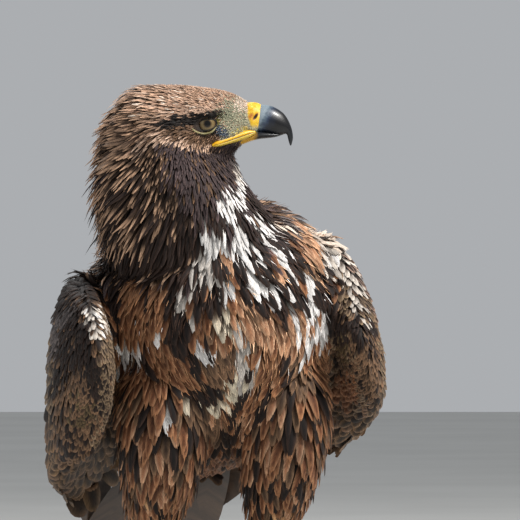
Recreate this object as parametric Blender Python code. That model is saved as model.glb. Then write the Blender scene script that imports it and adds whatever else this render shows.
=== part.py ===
"""A golden eagle (Aquila chrysaetos) at life size: it stands on both feet and looks to its left.

Lengths in the tables are millimetres. The bird faces -Y, its left side is +X, and the floor is Z = 0.
Each part of the body is a loft of oval rings along its own centre line, out to the tips of the plumage.
Where two parts meet, the softer one is carved back from the harder one, with a hair's gap between them.
The body is modelled square to the axes, then turned and leant on its legs. The head keeps its own heading.
"""

import math

import bmesh
import bpy
import numpy as np
from mathutils import Matrix, Vector

MM = 0.001
GAP = 0.35 * MM  # the clearance left between parts that touch

# How the body stands over its feet.
BODY_YAW = math.radians(12)  # the breast is turned a little to the bird's left
BODY_ROLL = math.radians(-5)  # the left shoulder is carried higher
BODY_PIVOT = Vector((0, 20, 270)) * MM

# The head, seen from its right side.
HEAD_Y = -45  # the head's own middle plane
EYE = Vector((-9.2, HEAD_Y, 437.6))
EYE_SIDE = 20.6  # from the middle plane to each eyeball's centre
EYE_RADIUS = 10.6

# The legs and feet.
LEG_SIDE = 52  # from the body's middle plane to each leg
FOOT_Y = 50  # where the shank meets the foot
TOE_RADIUS = 7.0
CLAW_ARC = math.radians(118)  # how far round a claw curls
CLAW_RISE = math.radians(-50)  # its slope where it leaves the toe: it rises, and comes down to a point
SOLE_CUT = 1.2  # how much of each pad is pressed flat on the floor

# A ring is x, y, z of its centre, its half width and half height, and its roll in degrees.
TRUNK = [
    (-12, -36, 356, 44, 48, 0),
    (-6, -27, 336, 77, 69, 0),
    (-1, -10, 308, 98, 84, 0),
    (0, 12, 275, 101, 91, 0),
    (0, 44, 245, 97, 87, 0),
    (0, 84, 220, 88, 77, 0),
    (0, 128, 197, 75, 61, 0),
    (0, 172, 175, 60, 44, 0),
    (0, 208, 159, 45, 29, 0),
    (0, 236, 147, 30, 15, 0),
]
NECK = [
    (-49, -45, 440, 42, 34, 0),
    (-52, -44, 416, 49, 41, 0),
    (-42, -40, 391, 62, 51, 0),
    (-32, -34, 370, 70, 57, 0),
    (-22, -28, 352, 76, 62, 0),
    (-14, -20, 332, 81, 66, 0),
    (-10, -10, 312, 80, 62, 0),
]
HEAD = [
    (24.0, HEAD_Y, 440.8, 11.5, 16.0, 0),
    (18.5, HEAD_Y, 439.9, 16.5, 20.8, 0),
    (10.0, HEAD_Y, 439.4, 22.0, 25.0, 0),
    (0.0, HEAD_Y, 439.0, 27.0, 28.0, 0),
    (-11.0, HEAD_Y, 438.6, 31.0, 30.0, 0),
    (-24.0, HEAD_Y, 437.0, 34.5, 33.2, 0),
    (-39.0, HEAD_Y, 434.8, 37.0, 36.6, 0),
    (-55.0, HEAD_Y, 433.0, 38.0, 39.0, 0),
    (-70.0, HEAD_Y, 431.5, 36.0, 40.5, 0),
    (-84.0, HEAD_Y, 427.0, 31.0, 36.0, 0),
    (-95.0, HEAD_Y, 419.0, 22.0, 25.0, 0),
    (-102.0, HEAD_Y, 412.0, 11.0, 12.0, 0),
]
# The cere and the bill are rings set in the head's middle plane, each from a point on the ridge
# to a point below it: x and z of the upper point, x and z of the lower point, half width.
CERE = [
    (20.4, 454.2, 22.0, 427.6, 10.2),
    (24.4, 456.0, 25.4, 427.2, 11.4),
    (29.4, 456.4, 29.0, 428.0, 11.3),
    (33.2, 455.8, 31.6, 429.6, 10.4),
    (36.0, 454.4, 33.6, 431.4, 9.2),
]
BILL = [
    (29.0, 453.2, 27.0, 431.4, 8.4),
    (35.6, 454.4, 33.0, 431.0, 9.2),
    (40.5, 454.0, 39.0, 430.6, 9.0),
    (45.7, 452.8, 44.5, 429.8, 8.4),
    (50.8, 450.2, 49.5, 428.8, 7.4),
    (55.2, 446.8, 53.5, 428.8, 6.1),
    (58.4, 442.4, 56.2, 429.6, 4.8),
    (60.8, 437.4, 57.8, 429.2, 3.6),
    (62.4, 432.2, 58.6, 426.8, 2.6),
    (63.0, 427.0, 59.4, 423.4, 1.8),
    (62.4, 422.8, 60.3, 420.8, 1.0),
    (61.6, 420.2, 61.0, 419.7, 0.4),
]
MANDIBLE = [
    (8.0, 425.4, 9.0, 417.8, 7.2),
    (18.0, 428.6, 19.0, 420.4, 8.6),
    (27.0, 431.2, 27.4, 423.4, 8.4),
    (34.0, 432.4, 34.0, 425.2, 7.9),
    (40.0, 432.0, 40.4, 426.0, 7.0),
    (47.0, 431.0, 47.4, 426.8, 5.2),
    (52.0, 430.4, 52.2, 428.2, 3.0),
    (54.4, 430.0, 54.4, 429.2, 1.2),
]
# The yellow lips of the gape, for the bird's left side; y is measured from the head's middle plane.
GAPE = [
    (-4.8, 22.4, 419.5, 1.7, 1.7, 0),
    (0.0, 20.6, 421.4, 2.3, 2.8, 0),
    (8.0, 17.4, 424.0, 2.4, 3.2, 0),
    (17.0, 13.6, 427.0, 2.4, 3.6, 0),
    (25.0, 10.8, 429.4, 2.2, 3.6, 0),
    (30.5, 9.4, 430.6, 1.4, 2.6, 0),
]
# The folded wing, from the bend of the wrist to the tips of the primaries, for the bird's left side.
WING = [
    (100, -60, 280, 9, 32, 4),
    (103, -52, 279, 15, 52, 4),
    (107, -34, 275, 20, 70, 5),
    (111, -2, 265, 23, 80, 7),
    (108, 50, 247, 23, 81, 14),
    (93, 120, 217, 21, 76, 29),
    (71, 200, 181, 16, 60, 44),
    (54, 290, 141, 11, 43, 53),
    (44, 370, 107, 8, 29, 57),
    (39, 428, 82, 5, 17, 60),
    (37, 458, 69, 2.4, 7, 60),
]
# left, right: outward shift, forward shift, lift, extra roll and fullness of each wing.
WING_CARRIAGE = {"left": (-4, -4, 2, 6, 1.0), "right": (24, 6, -30, -4, 1.12)}
# How far each wing's first rings droop at the wrist.
WRIST_DROOP = {"left": (7, 10, 8, 4), "right": (26, 24, 17, 7)}
TAIL = [
    (0, 176, 172, 30, 10, 0),
    (0, 205, 161, 38, 12, 0),
    (0, 250, 145, 46, 10, 0),
    (0, 310, 123, 54, 8, 0),
    (0, 370, 101, 60, 6.5, 0),
    (0, 425, 81, 62, 5, 0),
    (0, 455, 70, 54, 4, 0),
    (0, 470, 64.5, 34, 3, 0),
]
THIGH = [
    (46, 0, 246, 30, 34, 0),
    (50, -6, 216, 40, 46, 0),
    (52, 0, 180, 41, 47, 0),
    (LEG_SIDE, 16, 146, 34, 39, 0),
    (LEG_SIDE, 34, 116, 25, 28, 0),
    (LEG_SIDE, 48, 92, 17, 19, 0),
    (LEG_SIDE, 54, 78, 9, 10, 0),
]
SHANK = [
    (LEG_SIDE, FOOT_Y + 16, 96, 8, 9, 0),
    (LEG_SIDE, FOOT_Y + 14, 84, 12, 13, 0),
    (LEG_SIDE, FOOT_Y + 8, 60, 12.5, 13.5, 0),
    (LEG_SIDE, FOOT_Y + 3, 38, 12.5, 13.0, 0),
    (LEG_SIDE, FOOT_Y, 22, 12.0, 12.5, 0),
    (LEG_SIDE, FOOT_Y - 1, 14, 9.0, 9.5, 0),
]
# Each toe: its heading in degrees from straight ahead (outwards is positive), its length, its claw's length.
TOES = {
    "inner": (-34, 46, 40),
    "middle": (4, 64, 34),
    "outer": (42, 50, 28),
    "hind": (186, 38, 46),
}

# What is cut out of each part, the softest parts first, so that every cutter is still whole.
CARVING = [
    ("trunk", ["neck", "tail", "wing_left", "wing_right", "thigh_left", "thigh_right"]),
    ("neck", ["head", "bill_lower", "wing_left", "wing_right"]),
    ("tail", ["wing_left", "wing_right"]),
    ("thigh_right", ["thigh_left", "shank_right", "wing_right"]),
    ("thigh_left", ["shank_left", "wing_left"]),
    ("shank_left", ["foot_left"]),
    ("shank_right", ["foot_right"]),
    ("foot_left", [f"claw_{toe}_left" for toe in TOES]),
    ("foot_right", [f"claw_{toe}_right" for toe in TOES]),
    ("head", ["cere", "bill_upper", "bill_lower", "gape_left", "gape_right", "eye_left", "eye_right"]),
    ("gape_left", ["bill_upper", "cere", "bill_lower"]),
    ("gape_right", ["bill_upper", "cere", "bill_lower"]),
    ("bill_lower", ["bill_upper", "cere"]),
    ("cere", ["bill_upper"]),
]

COLOURS = {  # base colour, roughness
    "plumage": ((0.16, 0.09, 0.05), 0.8),
    "nape": ((0.45, 0.28, 0.15), 0.8),
    "wing": ((0.12, 0.075, 0.05), 0.75),
    "cere": ((0.80, 0.55, 0.05), 0.45),
    "horn": ((0.03, 0.035, 0.045), 0.3),
    "eye": ((0.35, 0.20, 0.06), 0.08),
    "foot": ((0.78, 0.56, 0.10), 0.55),
}


def clear_scene():
    for thing in list(bpy.data.objects):
        bpy.data.objects.remove(thing, do_unlink=True)


def material(name):
    found = bpy.data.materials.get(name)
    if found:
        return found
    colour, roughness = COLOURS[name]
    made = bpy.data.materials.new(name)
    made.use_nodes = True
    shader = made.node_tree.nodes["Principled BSDF"]
    shader.inputs["Base Color"].default_value = (*colour, 1)
    shader.inputs["Roughness"].default_value = roughness
    shader.inputs["Metallic"].default_value = 0
    return made


def solid(name, bm, finish):
    """A new object from a bmesh, with its faces pointing out."""
    bmesh.ops.recalc_face_normals(bm, faces=bm.faces)
    mesh = bpy.data.meshes.new(name)
    bm.to_mesh(mesh)
    bm.free()
    mesh.shade_smooth()
    thing = bpy.data.objects.new(name, mesh)
    thing.data.materials.append(material(finish))
    bpy.context.scene.collection.objects.link(thing)
    return thing


def smooth_rows(rows, count):
    """A table of rings read as Catmull-Rom curves, at evenly spaced rows."""
    table = np.array(rows, float)
    padded = np.vstack([2 * table[0] - table[1], table, 2 * table[-1] - table[-2]])
    made = []
    for place in np.linspace(0, len(table) - 1, count):
        k = min(int(place), len(table) - 2)
        t = place - k
        before, start, end, after = padded[k : k + 4]
        bend = (2 * before - 5 * start + 4 * end - after) * t
        twist = (3 * start - before - 3 * end + after) * t * t
        made.append(start + 0.5 * t * ((end - before) + bend + twist))
    return np.array(made)


def bridged(name, rings, finish):
    """A closed body skinned over a row of rings of points."""
    bm = bmesh.new()
    loops = []
    for points in rings:
        ring = [bm.verts.new(point) for point in points]
        loops.append([bm.edges.new((ring[s - 1], ring[s])) for s in range(len(ring))])
    for first, second in zip(loops, loops[1:]):
        bmesh.ops.bridge_loops(bm, edges=first + second)
    caps = bmesh.ops.holes_fill(bm, edges=bm.edges, sides=0)["faces"]
    bmesh.ops.poke(bm, faces=caps)
    bmesh.ops.triangulate(bm, faces=bm.faces)
    return solid(name, bm, finish)


def loft(name, rows, finish, rings, around, across=(1, 0, 0), facing=None):
    """A closed body through oval rings, square to their centre line, or to facing where it is given.
    across is the way of their width, before each ring's roll."""
    rows = smooth_rows(rows, rings)
    centres = [Vector(row[:3]) * MM for row in rows]
    made = []
    for k, row in enumerate(rows):
        along = (centres[min(k + 1, rings - 1)] - centres[max(k - 1, 0)]).normalized()
        along = Vector(facing) if facing else along
        wide = Vector(across) - along * along.dot(Vector(across))
        wide.normalize()
        wide.rotate(Matrix.Rotation(math.radians(row[5]), 3, along))
        tall = along.cross(wide)
        ring = []
        for step in range(around):
            turn = 2 * math.pi * step / around
            out = wide * (math.cos(turn) * row[3]) + tall * (math.sin(turn) * row[4])
            ring.append(centres[k] + out * MM)
        made.append(ring)
    return bridged(name, made, finish)


def blade(name, rows, finish, rings, around):
    """A closed body through rings set in the head's middle plane, drawn in a little towards its ridge."""
    made = []
    for top_x, top_z, low_x, low_z, wide in smooth_rows(rows, rings):
        top, low = Vector((top_x, HEAD_Y, top_z)), Vector((low_x, HEAD_Y, low_z))
        ring = []
        for step in range(around):
            turn = 2 * math.pi * step / around
            u, v = math.cos(turn), math.sin(turn)
            out = Vector((0, 1, 0)) * (u * wide * (1 - 0.2 * max(0.0, v))) + (top - low) * (v / 2)
            ring.append(((top + low) / 2 + out) * MM)
        made.append(ring)
    return bridged(name, made, finish)


def ball(name, centre, radius, finish, segments=14):
    bm = bmesh.new()
    bmesh.ops.create_uvsphere(bm, u_segments=segments, v_segments=segments // 2, radius=radius * MM)
    bmesh.ops.translate(bm, verts=bm.verts, vec=Vector(centre) * MM)
    return solid(name, bm, finish)


def mirrored(rows, side):
    """A table for the bird's left side, or its mirror image for the right."""
    flip = 1 if side == "left" else -1
    return [(flip * x, y, z, wide, tall, flip * roll) for x, y, z, wide, tall, roll in rows]


def turn(thing, matrix):
    thing.data.transform(matrix)
    thing.data.update()


def push(thing, centre, reach, move):
    """Moves the surface near a point, less and less out to the reach, as a sculptor's thumb does."""
    centre, move = Vector(centre) * MM, Vector(move) * MM
    for vertex in thing.data.vertices:
        share = (vertex.co - centre).length / (reach * MM)
        vertex.co += move * math.exp(-2 * share * share)
    thing.data.update()


def keep_largest(bm):
    """Drops the crumbs that a carving leaves."""
    left, bodies = set(bm.verts), []
    while left:
        found, edge = set(), [left.pop()]
        while edge:
            vertex = edge.pop()
            found.add(vertex)
            near = {e.other_vert(vertex) for e in vertex.link_edges} & left
            left -= near
            edge.extend(near)
        bodies.append(found)
    largest = max(bodies, key=len)
    crumbs = [v for body in bodies if body is not largest for v in body]
    bmesh.ops.delete(bm, geom=crumbs, context="VERTS")


def settle(thing):
    """Applies the object's modifiers and keeps its one main body."""
    graph = bpy.context.evaluated_depsgraph_get()
    bm = bmesh.new()
    bm.from_mesh(thing.evaluated_get(graph).to_mesh())
    bmesh.ops.remove_doubles(bm, verts=bm.verts, dist=0.00002)
    bmesh.ops.dissolve_degenerate(bm, edges=bm.edges, dist=0.00002)
    keep_largest(bm)
    thing.modifiers.clear()
    bm.to_mesh(thing.data)
    bm.free()


def carve(name, cutters):
    """Cuts each cutter, grown by the gap, out of the object."""
    thing = bpy.data.objects[name]
    for cutter in cutters:
        cutter = bpy.data.objects[cutter]
        grown = cutter.copy()
        grown.data = cutter.data.copy()
        grown.name = "cutter"
        grown.hide_render = True
        grown.display_type = "WIRE"
        bpy.context.scene.collection.objects.link(grown)
        bm = bmesh.new()
        bm.from_mesh(grown.data)
        bm.normal_update()
        for vertex in bm.verts:
            vertex.co += vertex.normal * GAP * max(1.0, min(vertex.calc_shell_factor(), 2.0))
        bm.to_mesh(grown.data)
        bm.free()
        cut = thing.modifiers.new("carve", "BOOLEAN")
        cut.operation = "DIFFERENCE"
        cut.solver = "EXACT"
        cut.object = grown
        settle(thing)
        bpy.data.objects.remove(grown, do_unlink=True)


def press_flat(thing, level):
    """Cuts off what is below a level and closes the cut with a flat."""
    bm = bmesh.new()
    bm.from_mesh(thing.data)
    every = list(bm.verts) + list(bm.edges) + list(bm.faces)
    bmesh.ops.bisect_plane(bm, geom=every, plane_co=(0, 0, level), plane_no=(0, 0, -1), clear_outer=True)
    rim = [edge for edge in bm.edges if edge.is_boundary]
    bmesh.ops.triangle_fill(bm, use_beauty=True, edges=rim)
    bmesh.ops.recalc_face_normals(bm, faces=bm.faces)
    bm.to_mesh(thing.data)
    bm.free()


def toe_rows(heading, length, start):
    """A toe's rings: three pads, from the middle of the foot out to the claw's root."""
    ahead = Vector((math.sin(heading), -math.cos(heading), 0))
    swell = [(0.0, 0.92, 1.25), (0.2, 1.0, 1.1), (0.42, 1.04, 1.0), (0.55, 0.9, 0.98)]
    swell += [(0.72, 1.0, 0.95), (0.84, 0.86, 0.92), (0.95, 0.88, 0.9), (1.0, 0.6, 0.92)]
    rows = []
    for share, wide, high in swell:
        at = start + ahead * (length * share)
        rows.append((at.x, at.y, TOE_RADIUS * high - SOLE_CUT, TOE_RADIUS * wide, TOE_RADIUS * wide * 1.02, 0))
    return rows, ahead


def claw_rows(root, ahead, length):
    """A claw's rings: a tapering hook that rises from the toe's end and comes down to the floor."""
    rows = []
    radius = length / CLAW_ARC
    for share in (0.0, 0.14, 0.3, 0.48, 0.66, 0.84, 1.0):
        angle = CLAW_RISE + CLAW_ARC * share
        out = radius * (math.sin(angle) - math.sin(CLAW_RISE))
        up = radius * (math.cos(angle) - math.cos(CLAW_RISE))
        at = root + ahead * out + Vector((0, 0, up))
        thick = 0.7 + 5.0 * (1 - share) ** 0.8
        rows.append((at.x, at.y, at.z, thick * 0.82, thick, 0))
    return rows


def make_head():
    """The head with its eyes, bill and gape."""
    for side, flip in (("left", 1), ("right", -1)):
        centre = EYE + Vector((0, flip * EYE_SIDE, 0))
        ball(f"eye_{side}", centre, EYE_RADIUS, "eye")
        lip = [(x, HEAD_Y + flip * y, z, wide, tall, 0) for x, y, z, wide, tall, _ in GAPE]
        loft(f"gape_{side}", lip, "cere", 8, 6, across=(0, 1, 0))
    blade("bill_upper", BILL, "horn", 14, 12)
    blade("bill_lower", MANDIBLE, "horn", 8, 10)
    blade("cere", CERE, "cere", 6, 14)
    head = loft("head", HEAD, "nape", 16, 16, across=(0, 1, 0), facing=(-1, 0, 0))
    for flip in (1, -1):
        push(head, (-8, HEAD_Y + flip * 30, 448.5), 11, (2, flip * 4.2, 1))  # brow
        push(head, (8, HEAD_Y + flip * 24, 447.0), 9, (2, flip * 2.2, 0.5))
        push(head, (-8, HEAD_Y + flip * 31, 436.5), 9, (0, flip * -3.2, 0))  # eye's hollow
        push(head, (12, HEAD_Y + flip * 21, 437), 9, (0, flip * -3.0, 0))  # lore
        push(head, (-22, HEAD_Y + flip * 34, 424), 16, (0, flip * 2.0, 0))  # cheek


def make_foot(side, body_turn):
    """One foot: the toes as one piece with the ball of the foot, and its four claws apart."""
    flip = 1 if side == "left" else -1
    middle = Vector((flip * LEG_SIDE, FOOT_Y, 0))
    parts, toes = [], []
    for name, (heading, length, claw) in TOES.items():
        rows, ahead = toe_rows(flip * math.radians(heading), length, middle)
        toes.append(loft("toe", rows, "foot", 14, 12, across=(ahead.y, -ahead.x, 0)))
        root = middle + ahead * (length - 3) + Vector((0, 0, TOE_RADIUS * 0.9))
        claw_table = claw_rows(root, ahead, claw)
        parts.append(loft(f"claw_{name}_{side}", claw_table, "horn", 8, 6, across=(ahead.y, -ahead.x, 0)))
    ball_rows = [(middle.x, middle.y + dy, 9, r, r * 0.8, 0) for dy, r in ((-14, 6), (-8, 12), (2, 13.5), (12, 9))]
    foot = loft(f"foot_{side}", ball_rows, "foot", 7, 12)
    bm = bmesh.new()
    for toe in toes:
        bm.from_mesh(toe.data)
        bpy.data.objects.remove(toe, do_unlink=True)
    bm.from_mesh(foot.data)
    bm.to_mesh(foot.data)
    bm.free()
    melt = foot.modifiers.new("melt", "REMESH")
    melt.mode = "VOXEL"
    melt.voxel_size = 2.0 * MM
    ease = foot.modifiers.new("ease", "SMOOTH")
    ease.iterations = 3
    thin = foot.modifiers.new("thin", "DECIMATE")
    thin.ratio = 0.055
    settle(foot)
    for thing in [foot, *parts]:
        turn(thing, body_turn)
    press_flat(foot, 0)


def stand_at_origin():
    """Brings the middle of the body's bounding box over the origin."""
    things = [thing for thing in bpy.context.scene.objects if thing.type == "MESH"]
    places = np.array([vertex.co for thing in things for vertex in thing.data.vertices])
    low, high = places.min(axis=0), places.max(axis=0)
    shift = Matrix.Translation((-(low[0] + high[0]) / 2, -(low[1] + high[1]) / 2, -low[2]))
    for thing in things:
        turn(thing, shift)


def main():
    clear_scene()
    lean = Matrix.Translation(BODY_PIVOT) @ Matrix.Rotation(BODY_YAW, 4, "Z")
    lean = lean @ Matrix.Rotation(BODY_ROLL, 4, "Y") @ Matrix.Translation(-BODY_PIVOT)
    upright = Matrix.Translation(BODY_PIVOT) @ Matrix.Rotation(BODY_YAW, 4, "Z") @ Matrix.Translation(-BODY_PIVOT)

    make_head()
    loft("neck", NECK, "nape", 10, 16, facing=(0, 0, -1))
    push(bpy.data.objects["neck"], (4, HEAD_Y, 402), 20, (15, 0, 2))  # throat
    trunk = loft("trunk", TRUNK, "plumage", 14, 18)
    push(trunk, (-90, 8, 306), 36, (-20, 0, 13))  # the feathers over the drooped shoulder
    turn(trunk, lean)
    turn(loft("tail", TAIL, "wing", 10, 12), lean)
    for side in ("left", "right"):
        out, ahead, lift, roll, full = WING_CARRIAGE[side]
        droop = [*WRIST_DROOP[side], *[0] * len(WING)]
        rows = []
        for k, (x, y, z, wide, tall, tip) in enumerate(WING):
            share = 1 - k / (len(WING) - 1)  # all of the carriage at the wrist, none at the tip
            z += lift * share**2 - droop[k]
            wide *= 1 + (full - 1) * share
            rows.append((x + out * share, y - ahead, z, wide, tall, -(tip + roll * share)))
        turn(loft(f"wing_{side}", mirrored(rows, side), "wing", 17, 12), lean)
        make_foot(side, upright)
        turn(loft(f"shank_{side}", mirrored(SHANK, side), "plumage", 8, 12), upright)
        turn(loft(f"thigh_{side}", mirrored(THIGH, side), "plumage", 11, 14), upright)
    for name, cutters in CARVING:
        carve(name, cutters)
    stand_at_origin()


main()
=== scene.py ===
"""A golden eagle at life size: its skin, plumage, bill, eyes and feet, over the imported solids.

Everything is modelled in the bird's own frame, in millimetres: it faces -Y, its left side is +X and the floor
is Z = 0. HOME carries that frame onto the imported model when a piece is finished.

The plumage is made in three steps. One skin is drawn over the solids of flesh and sunk by the depth of the
plumage. Every point of the skin knows the lie, size and colours of the feathers there. The feathers, each a
thin closed vane, are then laid along the skin from their roots, so that each row covers the next one's roots.
"""

import math

import bmesh
import bpy
import numpy as np
from mathutils import Matrix, Vector
from mathutils.bvhtree import BVHTree


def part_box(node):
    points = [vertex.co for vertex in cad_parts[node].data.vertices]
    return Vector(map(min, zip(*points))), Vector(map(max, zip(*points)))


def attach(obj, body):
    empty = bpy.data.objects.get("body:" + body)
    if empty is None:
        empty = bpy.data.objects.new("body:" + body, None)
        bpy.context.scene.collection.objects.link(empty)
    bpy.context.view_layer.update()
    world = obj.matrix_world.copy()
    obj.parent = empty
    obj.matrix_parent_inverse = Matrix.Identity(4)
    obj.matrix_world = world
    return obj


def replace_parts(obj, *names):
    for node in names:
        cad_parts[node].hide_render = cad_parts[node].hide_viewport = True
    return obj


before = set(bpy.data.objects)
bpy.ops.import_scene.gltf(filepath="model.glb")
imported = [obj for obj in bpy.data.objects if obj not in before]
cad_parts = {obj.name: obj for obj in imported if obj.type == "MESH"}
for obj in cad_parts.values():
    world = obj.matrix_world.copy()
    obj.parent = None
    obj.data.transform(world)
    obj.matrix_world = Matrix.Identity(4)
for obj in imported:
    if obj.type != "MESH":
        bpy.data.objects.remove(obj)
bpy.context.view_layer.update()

MM = 0.001
SIDES = {"left": 1, "right": -1}  # which way along X each side lies
HEAD_Y = -45  # the head's own middle plane
EYE = Vector((-9.2, HEAD_Y, 437.6))
EYE_SIDE = 20.6  # from the middle plane to each eyeball's centre
EYE_RADIUS = 10.6
EYE_RINGS = math.radians(66)  # the iris's rings are shares of this angle from the gaze
LID_THICK = 0.55
NOSTRIL = Vector((31.5, HEAD_Y, 444.1))  # its middle, on the head's middle plane
SKIN_GRAIN = 3.0  # mesh size at which the skin is melted together
FOOT_GRAIN = 0.95  # and the toes
# Along the lower lid: x and z from the eyeball's centre.
LOWER_LID = [(-13.6, -2.8), (-10.1, -6.0), (-6.4, -7.6), (-2.4, -8.2), (1.6, -7.7), (4.8, -6.2), (8.2, -2.4)]
LEG_SIDE = 52  # from the middle plane to each foot
FOOT_Y = 50
TOE_RADIUS = 7.0
SOLE_CUT = 1.2  # how much of a toe is pressed flat
CLAW_ARC = math.radians(118)  # how far a claw bends round
CLAW_RISE = math.radians(-50)  # where on its arc it starts

eye_low, eye_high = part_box("eye_right")
HOME = (eye_low + eye_high) / 2 - (EYE - Vector((0, EYE_SIDE, 0))) * MM
FROM_BIRD = Matrix.Translation(HOME) @ Matrix.Scale(MM, 4)
INTO_BIRD = FROM_BIRD.inverted()

# The body is turned and leant on its legs, the legs are turned, and the head is neither.
PIVOT = Matrix.Translation((0, 20, 270))
TURN = Matrix.Rotation(math.radians(12), 4, "Z")
TURN_SLOPE = 0.21  # the same turn, as a slope
UPRIGHT = PIVOT @ TURN @ PIVOT.inverted()
LEAN = PIVOT @ TURN @ Matrix.Rotation(math.radians(-5), 4, "Y") @ PIVOT.inverted()
LEAN_WAYS = np.array(LEAN.to_3x3())
BACKWARD = LEAN.to_3x3() @ Vector((0, 1, 0))

FLESH = ["neck", "trunk", "thigh_left", "thigh_right", "shank_left", "shank_right", "wing_left", "wing_right"]
WING_SKIN_END = LEAN @ Vector((0, 235, 200))  # the arm ends here in the folded wing; only quills lie behind

# Rings: x, y, z of the centre, half width, half height, roll in degrees.
HEAD = [
    (24.0, HEAD_Y, 440.8, 11.5, 16.0, 0),
    (18.5, HEAD_Y, 439.9, 16.5, 20.8, 0),
    (10.0, HEAD_Y, 439.4, 22.0, 25.0, 0),
    (0.0, HEAD_Y, 439.0, 27.0, 28.0, 0),
    (-11.0, HEAD_Y, 438.6, 31.0, 30.0, 0),
    (-24.0, HEAD_Y, 437.0, 34.5, 33.2, 0),
    (-39.0, HEAD_Y, 434.8, 37.0, 36.6, 0),
    (-55.0, HEAD_Y, 433.0, 38.0, 39.0, 0),
    (-70.0, HEAD_Y, 431.5, 36.0, 40.5, 0),
    (-84.0, HEAD_Y, 427.0, 31.0, 36.0, 0),
    (-95.0, HEAD_Y, 419.0, 22.0, 25.0, 0),
    (-102.0, HEAD_Y, 412.0, 11.0, 12.0, 0),
]
# Rings set in the head's middle plane: x and z of the top, x and z of the bottom, half width.
CERE = [
    (20.4, 454.2, 22.0, 427.6, 10.2), (24.4, 456.0, 25.4, 427.2, 11.4), (29.4, 456.4, 29.0, 428.0, 11.3),
    (33.2, 455.8, 31.6, 429.6, 10.4), (36.0, 454.4, 33.6, 431.4, 9.2),
]
BILL = [
    (29.0, 453.2, 27.0, 431.4, 8.4), (35.6, 454.4, 33.0, 431.0, 9.2), (40.5, 454.0, 39.0, 430.6, 9.0),
    (45.7, 452.8, 44.5, 429.8, 8.4), (50.8, 450.2, 49.5, 428.8, 7.4), (55.2, 446.8, 53.5, 428.8, 6.1),
    (58.4, 442.4, 56.2, 429.6, 4.8), (60.8, 437.4, 57.8, 429.2, 3.6), (62.4, 432.2, 58.6, 426.8, 2.6),
    (63.0, 427.0, 59.4, 423.4, 1.8), (62.4, 422.8, 60.3, 420.8, 1.0), (61.6, 420.2, 61.0, 419.7, 0.4),
]
MANDIBLE = [
    (8.0, 425.4, 9.0, 417.8, 7.2), (18.0, 428.6, 19.0, 420.4, 8.6), (27.0, 431.2, 27.4, 423.4, 8.4),
    (34.0, 432.4, 34.0, 425.2, 7.9), (40.0, 432.0, 40.4, 426.0, 7.0), (47.0, 431.0, 47.4, 426.8, 5.2),
    (52.0, 430.4, 52.2, 428.2, 3.0), (54.4, 430.0, 54.4, 429.2, 1.2),
]
# Rings of the lips: x, how far from the middle plane, z, half width, half height, roll.
GAPE = [
    (-4.8, 22.4, 419.5, 1.7, 1.7, 0), (0.0, 20.6, 421.4, 2.3, 2.8, 0), (8.0, 17.4, 424.0, 2.4, 3.2, 0),
    (17.0, 13.6, 427.0, 2.4, 3.6, 0), (25.0, 10.8, 429.4, 2.2, 3.6, 0), (30.5, 9.4, 430.6, 1.4, 2.6, 0),
]
# Rings of the left wing and of the tail, before the body leans: as for the head.
WING = [
    (100, -60, 280, 9, 32, 4),
    (103, -52, 279, 15, 52, 4),
    (107, -34, 275, 20, 70, 5),
    (111, -2, 265, 23, 80, 7),
    (108, 50, 247, 23, 81, 14),
    (93, 120, 217, 21, 76, 29),
    (71, 200, 181, 16, 60, 44),
    (54, 290, 141, 11, 43, 53),
    (44, 370, 107, 8, 29, 57),
    (39, 428, 82, 5, 17, 60),
    (37, 458, 69, 2.4, 7, 60),
]
# How each folded wing is carried: out, ahead, up, roll and fullness at the wrist, fading towards the tip.
WING_CARRIAGE = {"left": (-4, -4, 2, 6, 1.0), "right": (24, 6, -30, -4, 1.12)}
# How far each wing's first rings droop at the wrist.
WRIST_DROOP = {"left": (7, 10, 8, 4), "right": (26, 24, 17, 7)}
TAIL = [
    (0, 176, 172, 30, 10, 0),
    (0, 205, 161, 38, 12, 0),
    (0, 250, 145, 46, 10, 0),
    (0, 310, 123, 54, 8, 0),
    (0, 370, 101, 60, 6.5, 0),
    (0, 425, 81, 62, 5, 0),
    (0, 455, 70, 54, 4, 0),
    (0, 470, 64.5, 34, 3, 0),
]
# Each toe's heading in degrees, its length and its claw's length round the arc.
TOES = {"inner": (-34, 46, 40), "middle": (4, 64, 34), "outer": (42, 50, 28), "hind": (186, 38, 46)}
# Along a toe: the place, and shares of its width and of its height there.
TOE_SWELL = [
    (0.0, 0.92, 1.25), (0.2, 1.0, 1.1), (0.42, 1.04, 1.0), (0.55, 0.9, 0.98),
    (0.72, 1.0, 0.95), (0.84, 0.86, 0.92), (0.95, 0.88, 0.9), (1.0, 0.6, 0.92),
]
SCUTE = 3.4  # length of a plate on a toe
CLAW_RINGS = (0.0, 0.14, 0.3, 0.48, 0.66, 0.84, 1.0)
BALL = [(-14, 6), (-8, 12), (2, 13.5), (12, 9)]  # along the ball of the foot: y and half width

# ------------------------------------------------------------------------------------ colours


def linear(code):
    """A colour written as on a paint card, as the renderer's linear values."""
    parts = [int(code[i : i + 2], 16) / 255 for i in (1, 3, 5)]
    return tuple(p / 12.92 if p <= 0.04045 else ((p + 0.055) / 1.055) ** 2.4 for p in parts)


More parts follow.
